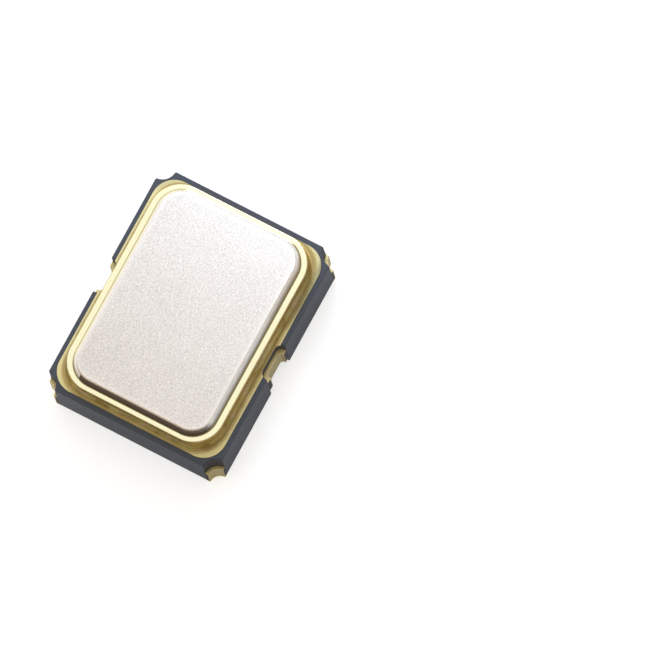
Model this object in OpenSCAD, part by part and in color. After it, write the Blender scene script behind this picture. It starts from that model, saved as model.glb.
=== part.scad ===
// Surface-mount crystal oscillator in a four-pad ceramic package.
// X runs along the package, Y across it and Z up from the solder pads to the lid.

/* [Package] */
// Length of the ceramic package along X
package_l = 3.2; // [2.9:0.05:4.2]
// Width of the ceramic package along Y
package_w = 2.5; // [2.3:0.05:3.4]
// Thickness of the floor layer of the ceramic
floor_layer = 0.18; // [0.12:0.01:0.3]
// Thickness of the layer that carries the bond fingers
finger_layer = 0.18; // [0.12:0.01:0.3]
// Thickness of the layer that carries the crystal
shelf_layer = 0.19; // [0.14:0.01:0.3]
// Thickness of the layer that carries the seal
rim_layer = 0.19; // [0.12:0.01:0.3]
// Thickness of every printed and plated conductor inside the package
print_t = 0.012; // [0.008:0.001:0.016]

/* [Castellations] */
// Radius of the plated corner castellations in the two lower layers
corner_r = 0.15; // [0.1:0.01:0.19]
// How much wider the bare corner castellations of the upper layers are
corner_step = 0.032; // [0.02:0.002:0.05]
// Length of the side castellation through the two middle layers
side_l = 0.36; // [0.24:0.01:0.44]
// Depth of the side castellation through the two middle layers
side_d = 0.072; // [0.05:0.002:0.1]
// Extra length of the side castellation in the top and bottom layers
side_l_step = 0.12; // [0.06:0.01:0.2]
// Extra depth of the side castellation in the top layer
top_d_step = 0.034; // [0.02:0.002:0.06]
// Extra depth of the side castellation in the bottom layer
bottom_d_step = 0.058; // [0.02:0.002:0.08]

/* [Solder pads] */
// Size of a solder pad along X
pad_l = 0.87; // [0.6:0.01:1.0]
// Size of a solder pad along Y
pad_w = 0.72; // [0.5:0.01:0.85]
// Thickness of a solder pad
pad_t = 0.02; // [0.012:0.001:0.03]
// Distance of a solder pad from the edges of the package
pad_inset = 0.08; // [0.05:0.01:0.12]
// Width of the plated collar round a corner castellation
collar_w = 0.06; // [0.04:0.01:0.1]
// Leg of the chamfer that marks pad 1
mark_chamfer = 0.35; // [0.15:0.01:0.42]

/* [Seal] */
// Bare ceramic beyond the metallized rim at the package ends
rim_inset_x = 0.07; // [0.04:0.005:0.09]
// Bare ceramic beyond the metallized rim at the package sides
rim_inset_y = 0.061; // [0.04:0.003:0.08]
// Thickness of the rim metallization
rim_t = 0.015; // [0.01:0.001:0.03]
// Corner radius of the rim metallization
rim_r = 0.3; // [0.25:0.01:0.45]
// Distance of the seal ring from the package ends
ring_inset_x = 0.127; // [0.115:0.001:0.15]
// Distance of the seal ring from the package sides
ring_inset_y = 0.163; // [0.14:0.001:0.19]
// Width of the seal ring's wall
ring_wall = 0.2; // [0.16:0.01:0.22]
// Height of the seal ring
ring_h = 0.29; // [0.15:0.01:0.4]
// Outer corner radius of the seal ring
ring_r = 0.4; // [0.33:0.01:0.5]
// Rounding of the seal ring's top edges
ring_edge = 0.012; // [0.006:0.001:0.03]
// Thickness of the braze under the seal ring
braze_t = 0.015; // [0.01:0.001:0.03]
// How far the braze fillet spreads out from the seal ring
braze_spread = 0.045; // [0.02:0.001:0.05]
// How far the braze fillet climbs the seal ring
braze_climb = 0.12; // [0.05:0.01:0.14]

/* [Lid] */
// Distance of the lid's foot from the ring's outer face at the package ends
lid_inset_x = 0.056; // [0.03:0.001:0.09]
// Distance of the lid's foot from the ring's outer face at the package sides
lid_inset_y = 0.075; // [0.04:0.001:0.1]
// Thickness of the lid
lid_t = 0.12; // [0.07:0.01:0.16]
// Height of the lid's upright rim, below the welded slope
lid_rim = 0.022; // [0.01:0.002:0.05]
// Width of the sloped, seam-welded edge of the lid
weld_w = 0.07; // [0.04:0.005:0.1]
// Radius that rounds the welded slope over into the lid's top
weld_round = 0.02; // [0.005:0.005:0.04]

/* [Cavity] */
// Wall between the cavity and the package ends in the top layer
wall_x = 0.38; // [0.36:0.005:0.42]
// Wall between the cavity and the package sides in the top layer
wall_y = 0.4; // [0.385:0.005:0.43]
// Corner radius of the cavity
cavity_r = 0.16; // [0.1:0.01:0.17]
// Depth of the shelf that carries the crystal, along X
shelf_l = 0.44; // [0.36:0.01:0.5]
// Length of the well in the finger layer that holds the chip
well_l = 1.3; // [1.24:0.01:1.4]
// Width of the well in the finger layer that holds the chip
well_w = 1.0; // [0.96:0.01:1.1]
// Corner radius of the chip's well
well_r = 0.08; // [0.04:0.01:0.12]
// Centre of the chip's well along X
well_x = 0.2; // [0.15:0.01:0.25]

/* [Chip] */
// Length of the oscillator chip
chip_l = 1.0; // [0.8:0.01:1.05]
// Width of the oscillator chip
chip_w = 0.76; // [0.62:0.01:0.78]
// Thickness of the oscillator chip
chip_t = 0.15; // [0.1:0.01:0.18]
// Thickness of the adhesive under the chip
chip_bond_t = 0.02; // [0.01:0.001:0.03]
// How far the adhesive spreads beyond the chip
chip_bond_spread = 0.04; // [0.02:0.005:0.05]
// How far the adhesive climbs the chip's sides
chip_bond_climb = 0.05; // [0.02:0.005:0.08]
// How far the plated paddle runs beyond the chip
paddle_margin = 0.07; // [0.06:0.005:0.08]
// Size of a square bond pad on the chip
chip_pad_size = 0.09; // [0.08:0.005:0.1]
// Distance from the chip's edge to the centre of its bond pads
chip_pad_inset = 0.08; // [0.06:0.005:0.1]
// Spacing of the chip's bond pads along X
chip_pad_pitch = 0.3; // [0.2:0.01:0.36]

/* [Conductors and wires] */
// Spacing of the bond fingers along X
finger_pitch = 0.36; // [0.28:0.01:0.4]
// Width of a bond finger
finger_w = 0.16; // [0.12:0.01:0.2]
// Gap between the well's edge and the fingers' inner ends
finger_gap = 0.03; // [0.02:0.005:0.05]
// Width of a buried conductor
track_w = 0.1; // [0.06:0.01:0.12]
// Diameter of the via that grounds the seal ring
via_d = 0.09; // [0.06:0.005:0.1]
// Distance of that via from the package's end
via_inset = 0.5; // [0.45:0.01:0.6]
// Diameter of the bond wires
wire_d = 0.025; // [0.018:0.001:0.03]
// Height of a bond wire's upright neck above the chip
neck_h = 0.06; // [0.045:0.005:0.07]
// Bend radius at the top of a bond wire
loop_r = 0.045; // [0.035:0.001:0.05]
// Bend radius at the foot of a bond wire
foot_r = 0.06; // [0.04:0.005:0.08]
// Diameter of the ball that bonds a wire to the chip
ball_d = 0.066; // [0.05:0.002:0.075]
// Height of that ball
ball_h = 0.016; // [0.012:0.001:0.02]

/* [Crystal] */
// Length of the quartz blank along X
blank_l = 2.1; // [1.8:0.01:2.2]
// Width of the quartz blank along Y
blank_w = 1.4; // [1.15:0.01:1.5]
// Thickness of the quartz blank
blank_t = 0.067; // [0.04:0.001:0.12]
// Gap between the cavity's end and the mounted end of the blank
blank_gap = 0.1; // [0.07:0.005:0.12]
// Thickness of the electrodes
electrode_t = 0.005; // [0.003:0.001:0.008]
// Length of an electrode's active field
field_l = 1.15; // [0.8:0.01:1.2]
// Width of an electrode's active field
field_w = 0.9; // [0.6:0.01:0.95]
// Width of the conductor that leads from the field to the mounted end
lead_w = 0.12; // [0.08:0.01:0.16]
// Length of an electrode's contact patch along X
patch_l = 0.27; // [0.25:0.01:0.3]
// Width of an electrode's contact patch along Y
patch_w = 0.32; // [0.28:0.01:0.36]
// Distance between the centres of the two contact patches
patch_pitch = 0.96; // [0.8:0.01:1.0]
// Length of a printed crystal pad along X
crystal_pad_l = 0.32; // [0.28:0.01:0.34]
// Width of a printed crystal pad along Y
crystal_pad_w = 0.38; // [0.3:0.01:0.42]
// Diameter of a dot of conductive adhesive
dot_d = 0.23; // [0.16:0.01:0.24]
// Height of a dot of conductive adhesive
dot_h = 0.03; // [0.02:0.005:0.05]

/* [Hidden] */
$fn = 48;

// Colours
CERAMIC = [0.33, 0.34, 0.37];
GOLD = [0.87, 0.77, 0.52];
PALE_GOLD = [0.93, 0.87, 0.66];
BRAZE = [0.62, 0.52, 0.3];
NICKEL = [0.86, 0.84, 0.81];
SILICON = [0.36, 0.37, 0.42];
ALUMINIUM = [0.8, 0.81, 0.83];
SILVER_PASTE = [0.66, 0.66, 0.67];
QUARTZ = [0.82, 0.88, 0.9, 0.45];
SILVER_FILM = [0.88, 0.88, 0.9];
TUNGSTEN = [0.5, 0.5, 0.52];

// Signs of the four corners, seen from above: pads 1 to 4 run anticlockwise
ENABLE = [-1, -1];
GROUND = [1, -1];
OUTPUT = [1, 1];
SUPPLY = [-1, 1];
FRONT = -1;
BACK = 1;

// Levels, from the board upwards
base_z = pad_t;
finger_z0 = base_z + floor_layer;
finger_z = finger_z0 + finger_layer;
shelf_z = finger_z + shelf_layer;
rim_z = shelf_z + rim_layer;
braze_z = rim_z + rim_t;
ring_z = braze_z + braze_t;
lid_z = ring_z + ring_h;
chip_z = finger_z0 + print_t + chip_bond_t;
chip_top = chip_z + chip_t;
dot_z = shelf_z + print_t;
blank_z = dot_z + dot_h + electrode_t;

// Castellations of each layer: a side castellation's ends take this share of its depth as their radius
side_rounding = 0.8;
corner_bare_r = corner_r + corner_step;
side_r = side_d * side_rounding;
wide_l = side_l + side_l_step;
top_d = side_d + top_d_step;
bottom_d = side_d + bottom_d_step;

// Plan sizes of the cavity: the shelf layer opens less at the crystal's end
cavity_l = package_l - 2 * wall_x;
cavity_w = package_w - 2 * wall_y;
open_l = cavity_l - shelf_l;
open_x = shelf_l / 2;

// Plan sizes of the seal
rim_l = package_l - 2 * rim_inset_x;
rim_w = package_w - 2 * rim_inset_y;
ring_l = package_l - 2 * ring_inset_x;
ring_w = package_w - 2 * ring_inset_y;
lid_l = ring_l - 2 * lid_inset_x;
lid_w = ring_w - 2 * lid_inset_y;
lid_r = ring_r - lid_inset_x;
braze_inner = 0.02;
weld_h = lid_t - lid_rim;
round_steps = 6;
fillet_steps = 6;

// Conductors: the buried runs lie midway between the cavity and the side castellations
run_y = (cavity_w / 2 + package_w / 2 - top_d) / 2;
bend_gap = 0.1;
bend_x = package_l / 2 - corner_bare_r - bend_gap;
finger_y0 = well_w / 2 + finger_gap;
chip_pad_y = chip_w / 2 - chip_pad_inset;
chip_pad_t = 0.005;
via_x = package_l / 2 - via_inset;
wire_land = 0.12;
foot_l = 0.06;
foot_w = 0.045;
foot_t = 0.008;
foot_lift = foot_t / 4;
foot_back = foot_l / 4;
neck_flare = 1.3;
wire_sides = 10;
loop_steps = 8;
foot_steps = 4;

// The crystal hangs from its mounted end over the shelf
blank_x0 = -cavity_l / 2 + blank_gap;
blank_x = blank_x0 + blank_l / 2;
patch_x = blank_x0 + patch_l / 2;
film_r = 0.03;
film_lap = 2 * film_r;

// ---------- shared shapes ----------

module rounded_rectangle(l, w, r) {
    square([l - 2 * r, w], center = true);
    square([l, w - 2 * r], center = true);
    for (x = [-1, 1], y = [-1, 1])
        translate([x * (l / 2 - r), y * (w / 2 - r)])
            circle(r);
}

// Sweeps a profile round a rounded rectangle: profile x points outwards and profile y points up
module sweep_round(l, w, r) {
    for (side = [0:3]) {
        across = side % 2 == 0 ? l : w;
        along = side % 2 == 0 ? w : l;
        rotate([0, 0, 90 * side]) {
            translate([across / 2, along / 2 - r, 0])
                rotate([90, 0, 0])
                    linear_extrude(along - 2 * r)
                        children();
            translate([across / 2 - r, along / 2 - r, 0])
                rotate_extrude(angle = 90)
                    translate([r, 0])
                        children();
        }
    }
}

// The void of a castellation in the long side that lies at y = side * package_w / 2
module side_void(side, l, d, r) {
    translate([0, side * package_w / 2]) {
        square([l, 2 * (d - r)], center = true);
        square([l - 2 * r, 2 * d], center = true);
        for (x = [-1, 1])
            translate([x * (l / 2 - r), -side * (d - r)])
                circle(r);
    }
}

module middle_void(side, wall = 0) {
    side_void(side, side_l - 2 * wall, side_d - wall, side_r - wall);
}

module top_void(side) {
    side_void(side, wide_l, top_d, side_r + top_d_step);
}

module bottom_void(side) {
    side_void(side, wide_l, bottom_d, side_r + top_d_step);
}

module corner_disc(corner, r) {
    translate([corner.x * package_l / 2, corner.y * package_w / 2])
        circle(r);
}

module four_corner_discs(r) {
    for (corner = [ENABLE, GROUND, OUTPUT, SUPPLY])
        corner_disc(corner, r);
}

module package_outline() {
    square([package_l, package_w], center = true);
}

// A printed line of even width through a list of points
module printed_line(points, width) {
    for (i = [1:len(points) - 1]) {
        run = points[i] - points[i - 1];
        translate(points[i - 1])
            rotate(atan2(run.y, run.x))
                translate([0, -width / 2])
                    square([norm(run), width]);
    }
    for (i = [1:len(points) - 2])
        translate(points[i])
            circle(d = width);
}

// ---------- ceramic ----------

module cavity_outline() {
    rounded_rectangle(cavity_l, cavity_w, cavity_r);
}

module shelf_opening() {
    translate([open_x, 0])
        rounded_rectangle(open_l, cavity_w, cavity_r);
}

module chip_well() {
    translate([well_x, 0])
        rounded_rectangle(well_l, well_w, well_r);
}

module floor_layer_body() {
    linear_extrude(floor_layer)
        difference() {
            package_outline();
            four_corner_discs(corner_r);
            bottom_void(FRONT);
            bottom_void(BACK);
        }
}

module finger_layer_body() {
    linear_extrude(finger_layer)
        difference() {
            package_outline();
            four_corner_discs(corner_r);
            middle_void(FRONT);
            middle_void(BACK);
            chip_well();
        }
}

module shelf_layer_body() {
    linear_extrude(shelf_layer)
        difference() {
            package_outline();
            four_corner_discs(corner_bare_r);
            middle_void(FRONT);
            middle_void(BACK);
            shelf_opening();
        }
}

module rim_layer_body() {
    linear_extrude(rim_layer)
        difference() {
            package_outline();
            four_corner_discs(corner_bare_r);
            top_void(FRONT);
            top_void(BACK);
            cavity_outline();
        }
}

module ceramic_base() {
    color(CERAMIC)
        difference() {
            union() {
                translate([0, 0, base_z])
                    floor_layer_body();
                translate([0, 0, finger_z0])
                    finger_layer_body();
                translate([0, 0, finger_z])
                    shelf_layer_body();
                translate([0, 0, shelf_z])
                    rim_layer_body();
            }
            for (corner = [ENABLE, GROUND, OUTPUT, SUPPLY])
                corner_track(corner);
            for (side = [FRONT, BACK]) {
                crystal_track(side);
                crystal_pad(side);
            }
            via_post();
        }
}

// ---------- terminals ----------

module pad_shape(corner, chamfer) {
    inner_x = package_l / 2 - pad_inset - pad_l;
    inner_y = package_w / 2 - pad_inset - pad_w;
    difference() {
        translate([corner.x * (inner_x + pad_l / 2), corner.y * (inner_y + pad_w / 2)])
            rounded_rectangle(pad_l, pad_w, film_r);
        if (chamfer > 0)
            translate([corner.x * inner_x, corner.y * inner_y])
                rotate(45)
                    square(chamfer * sqrt(2), center = true);
    }
}

// A solder pad, its collar, the plating of the corner castellation and the plated step above it
module terminal(corner, chamfer = 0) {
    plated_r = corner_r - print_t;
    color(GOLD) {
        linear_extrude(pad_t)
            difference() {
                union() {
                    pad_shape(corner, chamfer);
                    intersection() {
                        corner_disc(corner, corner_r + collar_w);
                        package_outline();
                    }
                }
                corner_disc(corner, plated_r);
            }
        linear_extrude(finger_z + print_t)
            intersection() {
                difference() {
                    corner_disc(corner, corner_r);
                    corner_disc(corner, plated_r);
                }
                package_outline();
            }
        translate([0, 0, finger_z])
            linear_extrude(print_t)
                intersection() {
                    difference() {
                        corner_disc(corner, corner_bare_r);
                        corner_disc(corner, plated_r);
                    }
                    package_outline();
                }
    }
}

module enable_terminal() {
    terminal(ENABLE, mark_chamfer);
}

module ground_terminal() {
    terminal(GROUND);
}

module output_terminal() {
    terminal(OUTPUT);
}

module supply_terminal() {
    terminal(SUPPLY);
}

// The plating of a side castellation, with the plated steps above and below it
module side_contact(side) {
    low_z = finger_z0 - print_t;
    color(GOLD) {
        translate([0, 0, low_z])
            linear_extrude(shelf_z + print_t - low_z)
                intersection() {
                    difference() {
                        middle_void(side);
                        middle_void(side, print_t);
                    }
                    package_outline();
                }
        translate([0, 0, shelf_z])
            linear_extrude(print_t)
                intersection() {
                    difference() {
                        top_void(side);
                        middle_void(side, print_t);
                    }
                    package_outline();
                }
        translate([0, 0, low_z])
            linear_extrude(print_t)
                intersection() {
                    difference() {
                        bottom_void(side);
                        middle_void(side, print_t);
                    }
                    package_outline();
                }
    }
}

module front_side_contact() {
    side_contact(FRONT);
}

module back_side_contact() {
    side_contact(BACK);
}

// ---------- seal ----------

module seal_metallization() {
    color(PALE_GOLD)
        translate([0, 0, rim_z])
            linear_extrude(rim_t)
                difference() {
                    rounded_rectangle(rim_l, rim_w, rim_r);
                    cavity_outline();
                    top_void(FRONT);
                    top_void(BACK);
                }
}

// Section of the braze: a thin bed with a concave fillet on each side of the ring's wall
module braze_profile() {
    outer = [for (i = [0:fillet_steps]) let (a = 90 * i / fillet_steps)
        [braze_spread * (1 - sin(a)), braze_t + braze_climb * (1 - cos(a))]];
    inner = [for (i = [0:fillet_steps]) let (a = 90 * i / fillet_steps)
        [-ring_wall - braze_inner * (1 - cos(a)), braze_t + braze_inner * (1 - sin(a))]];
    difference() {
        polygon(concat(
            [[-ring_wall - braze_inner, 0], [braze_spread, 0]], outer, inner));
        translate([-ring_wall, braze_t])
            square([ring_wall, ring_h]);
    }
}

module braze_joint() {
    color(BRAZE)
        difference() {
            translate([0, 0, braze_z])
                sweep_round(ring_l, ring_w, ring_r)
                    braze_profile();
            translate([0, 0, braze_z])
                linear_extrude(braze_t + braze_climb) {
                    top_void(FRONT);
                    top_void(BACK);
                }
        }
}

module ring_profile() {
    translate([-ring_wall, 0])
        square([ring_wall, ring_h - ring_edge]);
    translate([ring_edge - ring_wall, 0])
        square([ring_wall - 2 * ring_edge, ring_h]);
    for (x = [-ring_edge, ring_edge - ring_wall])
        translate([x, ring_h - ring_edge])
            circle(ring_edge);
}

module seal_ring() {
    color(GOLD)
        translate([0, 0, ring_z])
            sweep_round(ring_l, ring_w, ring_r)
                ring_profile();
}

// Section of the lid's welded edge: an upright rim, then a slope that rounds over into the top.
// The slope's angle is the one at which it runs from the rim to the start of the rounding.
module weld_profile() {
    straight_h = weld_h - weld_round;
    angle = atan2(straight_h, weld_w) + asin(weld_round / norm([weld_w, straight_h]));
    rounding = [for (i = [0:round_steps]) let (a = angle * (1 - i / round_steps))
        [weld_round * sin(a) - weld_w, lid_t - weld_round * (1 - cos(a))]];
    polygon(concat([[-weld_w, 0], [0, 0], [0, lid_rim]], rounding));
}

module lid() {
    color(NICKEL)
        translate([0, 0, lid_z]) {
            linear_extrude(lid_t)
                rounded_rectangle(lid_l - 2 * weld_w, lid_w - 2 * weld_w, lid_r - weld_w);
            sweep_round(lid_l, lid_w, lid_r)
                weld_profile();
        }
}

// ---------- printed conductors ----------

module finger(x, side) {
    translate([x - finger_w / 2, side > 0 ? finger_y0 : -run_y])
        square([finger_w, run_y - finger_y0]);
}

// A bond finger and the buried line that joins it to a corner castellation
module corner_track(corner) {
    x = well_x + corner.x * finger_pitch;
    translate([0, 0, finger_z])
        linear_extrude(print_t)
            difference() {
                union() {
                    finger(x, corner.y);
                    printed_line([
                        [x, corner.y * finger_y0],
                        [x, corner.y * run_y],
                        [corner.x * bend_x, corner.y * run_y],
                        [corner.x * package_l / 2, corner.y * package_w / 2]
                    ], track_w);
                }
                corner_disc(corner, corner_bare_r);
            }
}

module enable_track() {
    color(GOLD)
        corner_track(ENABLE);
}

module ground_track() {
    color(GOLD)
        corner_track(GROUND);
}

module output_track() {
    color(GOLD)
        corner_track(OUTPUT);
}

module supply_track() {
    color(GOLD)
        corner_track(SUPPLY);
}

// A bond finger and the buried line that joins it to a side castellation
module crystal_track(side) {
    translate([0, 0, finger_z])
        linear_extrude(print_t)
            difference() {
                union() {
                    finger(well_x, side);
                    printed_line([
                        [well_x, side * finger_y0],
                        [well_x, side * run_y],
                        [0, side * run_y],
                        [0, side * package_w / 2]
                    ], track_w);
                }
                middle_void(side);
            }
}

module front_crystal_track() {
    color(GOLD)
        crystal_track(FRONT);
}

module back_crystal_track() {
    color(GOLD)
        crystal_track(BACK);
}

// A pad on the crystal's shelf and the buried line that joins it to a side castellation
module crystal_pad(side) {
    translate([0, 0, shelf_z])
        linear_extrude(print_t)
            difference() {
                union() {
                    translate([patch_x, side * patch_pitch / 2])
                        square([crystal_pad_l, crystal_pad_w], center = true);
                    printed_line([
                        [patch_x, side * patch_pitch / 2],
                        [patch_x, side * run_y],
                        [0, side * run_y],
                        [0, side * package_w / 2]
                    ], track_w);
                }
                top_void(side);
            }
}

module front_crystal_pad() {
    color(GOLD)
        crystal_pad(FRONT);
}

module back_crystal_pad() {
    color(GOLD)
        crystal_pad(BACK);
}

module via_post() {
    translate([via_x, GROUND.y * run_y, finger_z + print_t])
        cylinder(h = rim_z - finger_z - print_t, d = via_d);
}

module ground_via() {
    color(TUNGSTEN)
        via_post();
}

// ---------- chip ----------

module chip_paddle() {
    color(GOLD)
        translate([well_x, 0, finger_z0])
            linear_extrude(print_t)
                square([chip_l + 2 * paddle_margin, chip_w + 2 * paddle_margin], center = true);
}

// Section of the adhesive that is squeezed out round the chip and climbs its sides
module squeeze_out_profile() {
    height = chip_bond_t + chip_bond_climb;
    curve = [for (i = [0:fillet_steps]) let (a = 90 * i / fillet_steps)
        [chip_bond_spread * (1 - sin(a)), height * (1 - cos(a))]];
    polygon(concat([[0, 0]], curve));
}

module chip_adhesive() {
    color(SILVER_PASTE)
        translate([well_x, 0, finger_z0 + print_t]) {
            linear_extrude(chip_bond_t)
                square([chip_l, chip_w], center = true);
            sweep_round(chip_l, chip_w, 0)
                squeeze_out_profile();
        }
}

module oscillator_chip() {
    color(SILICON)
        translate([well_x - chip_l / 2, -chip_w / 2, chip_z])
            cube([chip_l, chip_w, chip_t]);
}

module chip_pads() {
    color(ALUMINIUM)
        for (column = [-1, 0, 1], side = [FRONT, BACK])
            translate([well_x + column * chip_pad_pitch, side * chip_pad_y, chip_top + chip_pad_t / 2])
                cube([chip_pad_size, chip_pad_size, chip_pad_t], center = true);
}

// ---------- bond wires ----------

// Rings of a wire from a ball at the origin to a stitch at a distance along X and a height along Z.
// Each ring is [x, z, heading]: the heading is 0 where the wire runs up and 90 where it runs along X.
// The slope of the straight run is the one that joins the two bends.
function wire_rings(span, rise) =
    let (
        start_z = ball_h + neck_h,
        end_z = rise + wire_d / 2 + foot_lift,
        reach = span - loop_r,
        drop = end_z + foot_r - start_z,
        slope = asin((loop_r + foot_r) / norm([reach, drop])) - atan2(drop, reach)
    )
    concat(
        [[0, ball_h / 2, 0]],
        [for (i = [0:loop_steps]) let (h = (90 + slope) * i / loop_steps)
            [loop_r * (1 - cos(h)), start_z + loop_r * sin(h), h]],
        [for (i = [0:foot_steps]) let (h = 90 + slope * (1 - i / foot_steps))
            [span + foot_r * cos(h), end_z + foot_r * (1 - sin(h)), h]],
        [[span + foot_back, end_z, 90]]
    );

// A round wire through its rings
module swept_wire(rings) {
    last = len(rings) - 1;
    points = [for (ring = rings, side = [0:wire_sides - 1])
        let (a = 360 * side / wire_sides, u = wire_d / 2 * cos(a), v = wire_d / 2 * sin(a))
        [ring[0] + u * cos(ring[2]), v, ring[1] - u * sin(ring[2])]];
    walls = [for (i = [0:last - 1], side = [0:wire_sides - 1])
        let (low = i * wire_sides, next = (side + 1) % wire_sides)
        [low + side, low + wire_sides + side, low + wire_sides + next, low + next]];
    start_cap = [for (side = [0:wire_sides - 1]) side];
    end_cap = [for (side = [wire_sides - 1:-1:0]) last * wire_sides + side];
    polyhedron(points, concat(walls, [start_cap, end_cap]));
}

// A ball on the chip, the wire, and the flattened stitch on the finger
module wire_loop(span, rise) {
    cylinder(h = ball_h, d = ball_d);
    translate([0, 0, ball_h])
        cylinder(h = ball_h / 2, d1 = ball_d, d2 = wire_d * neck_flare);
    swept_wire(wire_rings(span, rise));
    translate([span - foot_back, -foot_w / 2, rise])
        cube([foot_l, foot_w, foot_t]);
}

module bond_wire(column, side) {
    start = [well_x + column * chip_pad_pitch, side * chip_pad_y];
    end = [well_x + column * finger_pitch, side * (finger_y0 + wire_land)];
    run = end - start;
    low = chip_top + chip_pad_t;
    color(PALE_GOLD)
        translate([start.x, start.y, low])
            rotate([0, 0, atan2(run.y, run.x)])
                wire_loop(norm(run), finger_z + print_t - low);
}

module enable_wire() {
    bond_wire(ENABLE.x, ENABLE.y);
}

module ground_wire() {
    bond_wire(GROUND.x, GROUND.y);
}

module output_wire() {
    bond_wire(OUTPUT.x, OUTPUT.y);
}

module supply_wire() {
    bond_wire(SUPPLY.x, SUPPLY.y);
}

module front_crystal_wire() {
    bond_wire(0, FRONT);
}

module back_crystal_wire() {
    bond_wire(0, BACK);
}

// ---------- crystal ----------

// A squat drop with a waist between its two faces
module adhesive_dot(side) {
    waist = dot_h / 2;
    color(SILVER_PASTE)
        translate([patch_x, side * patch_pitch / 2, dot_z])
            rotate_extrude()
                difference() {
                    square([dot_d / 2, dot_h]);
                    translate([dot_d / 2 + waist / 2, waist])
                        circle(waist);
                }
}

module front_crystal_adhesive() {
    adhesive_dot(FRONT);
}

module back_crystal_adhesive() {
    adhesive_dot(BACK);
}

module quartz_blank() {
    color(QUARTZ)
        translate([blank_x - blank_l / 2, -blank_w / 2, blank_z])
            cube([blank_l, blank_w, blank_t]);
}

// The field in the middle of a face and the lead that runs from it to the mounted end
module electrode_face(side) {
    lead_l = blank_l / 2 - patch_l / 2;
    translate([blank_x, 0])
        rounded_rectangle(field_l, field_w, film_r);
    translate([blank_x - lead_l, side * patch_pitch / 2 - (side > 0 ? lead_w : 0)])
        square([lead_l - field_l / 2 + film_lap, lead_w]);
}

module contact_patch(side) {
    translate([blank_x0, side * patch_pitch / 2 - patch_w / 2])
        square([patch_l, patch_w]);
}

// The upper electrode wraps round the end of the blank to reach its adhesive
module upper_electrode() {
    color(SILVER_FILM) {
        translate([0, 0, blank_z + blank_t])
            linear_extrude(electrode_t) {
                electrode_face(BACK);
                contact_patch(BACK);
            }
        translate([blank_x0 - electrode_t, patch_pitch / 2 - patch_w / 2, blank_z - electrode_t])
            cube([electrode_t, patch_w, blank_t + 2 * electrode_t]);
        translate([0, 0, blank_z - electrode_t])
            linear_extrude(electrode_t)
                contact_patch(BACK);
    }
}

module lower_electrode() {
    color(SILVER_FILM)
        translate([0, 0, blank_z - electrode_t])
            linear_extrude(electrode_t) {
                electrode_face(FRONT);
                contact_patch(FRONT);
            }
}

ceramic_base();
enable_terminal();
ground_terminal();
output_terminal();
supply_terminal();
front_side_contact();
back_side_contact();
seal_metallization();
braze_joint();
seal_ring();
lid();
enable_track();
ground_track();
output_track();
supply_track();
front_crystal_track();
back_crystal_track();
ground_via();
front_crystal_pad();
back_crystal_pad();
chip_paddle();
chip_adhesive();
oscillator_chip();
chip_pads();
enable_wire();
ground_wire();
output_wire();
supply_wire();
front_crystal_wire();
back_crystal_wire();
front_crystal_adhesive();
back_crystal_adhesive();
quartz_blank();
upper_electrode();
lower_electrode();
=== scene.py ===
"""Looks of a surface-mount crystal oscillator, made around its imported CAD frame.

Pieces are modelled in millimetres and brought to metres when they are handed over.
Seen from above, pad 1 lies at the low end of X and Y, and the pads run anticlockwise.
"""

import logging
import math
from collections.abc import Callable, Iterator, Mapping, Sequence
from contextlib import contextmanager
from dataclasses import dataclass, field
from enum import Enum
from functools import reduce

import bpy
from bpy.types import Material, Node, NodeSocket, Object, World
from mathutils import Matrix, Vector


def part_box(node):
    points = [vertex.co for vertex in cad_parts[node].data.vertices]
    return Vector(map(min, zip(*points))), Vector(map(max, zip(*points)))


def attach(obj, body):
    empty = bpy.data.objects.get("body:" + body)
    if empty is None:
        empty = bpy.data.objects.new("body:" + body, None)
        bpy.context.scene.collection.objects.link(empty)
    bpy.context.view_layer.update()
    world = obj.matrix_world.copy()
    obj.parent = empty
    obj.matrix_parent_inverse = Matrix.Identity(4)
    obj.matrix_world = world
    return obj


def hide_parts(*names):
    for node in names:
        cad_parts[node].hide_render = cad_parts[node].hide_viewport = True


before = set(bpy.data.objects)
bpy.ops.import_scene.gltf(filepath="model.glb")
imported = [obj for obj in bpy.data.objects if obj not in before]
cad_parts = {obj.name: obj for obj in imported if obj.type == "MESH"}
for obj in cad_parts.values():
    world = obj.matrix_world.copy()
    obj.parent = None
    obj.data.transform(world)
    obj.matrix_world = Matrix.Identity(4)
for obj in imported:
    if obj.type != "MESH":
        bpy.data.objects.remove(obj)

LOG = logging.getLogger("oscillator")
BODY = "root"
MM = 0.001  # metres
TINY = 1e-4  # millimetres within which two places are the same
ARC_STEPS = 14  # faces in a quarter turn
FAR = 1.0  # how far a cutting tool reaches past what it cuts
FLAT_ANGLE = math.radians(0.5)  # faces that meet at less are one face
SHARP_ANGLE = math.radians(40)  # edges sharper than this are softened
SMOOTH_ANGLE = math.radians(38)  # edges flatter than this are shaded smooth
SOFT_STEPS = 2  # faces across a softened edge

CRYSTAL_LEADS = ("front_crystal", "back_crystal")
LEADS = ("enable", "ground", "output", "supply", *CRYSTAL_LEADS)
PRINTS = (*(f"{lead}_track" for lead in LEADS), *(f"{lead}_pad" for lead in CRYSTAL_LEADS))

Colour = tuple[float, float, float]
Place = tuple[float, float, float]
Point = tuple[float, float]
Test = Callable[[list[Vector]], bool]
WHITE = (1.0, 1.0, 1.0)


class Part(Enum):
    """What an edit-mode step selects, as Blender's three selection switches."""

    VERTS = (True, False, False)
    EDGES = (False, True, False)
    FACES = (False, False, True)


class Joining(Enum):
    """How two solids are combined."""

    CUT = "DIFFERENCE"
    ADD = "UNION"
    KEEP = "INTERSECT"


class Corner(Enum):
    """The package's corners, by the pad that lies there, as the signs of X and Y."""

    ENABLE = (-1, -1)
    GROUND = (1, -1)
    OUTPUT = (1, 1)
    SUPPLY = (-1, 1)


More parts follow.
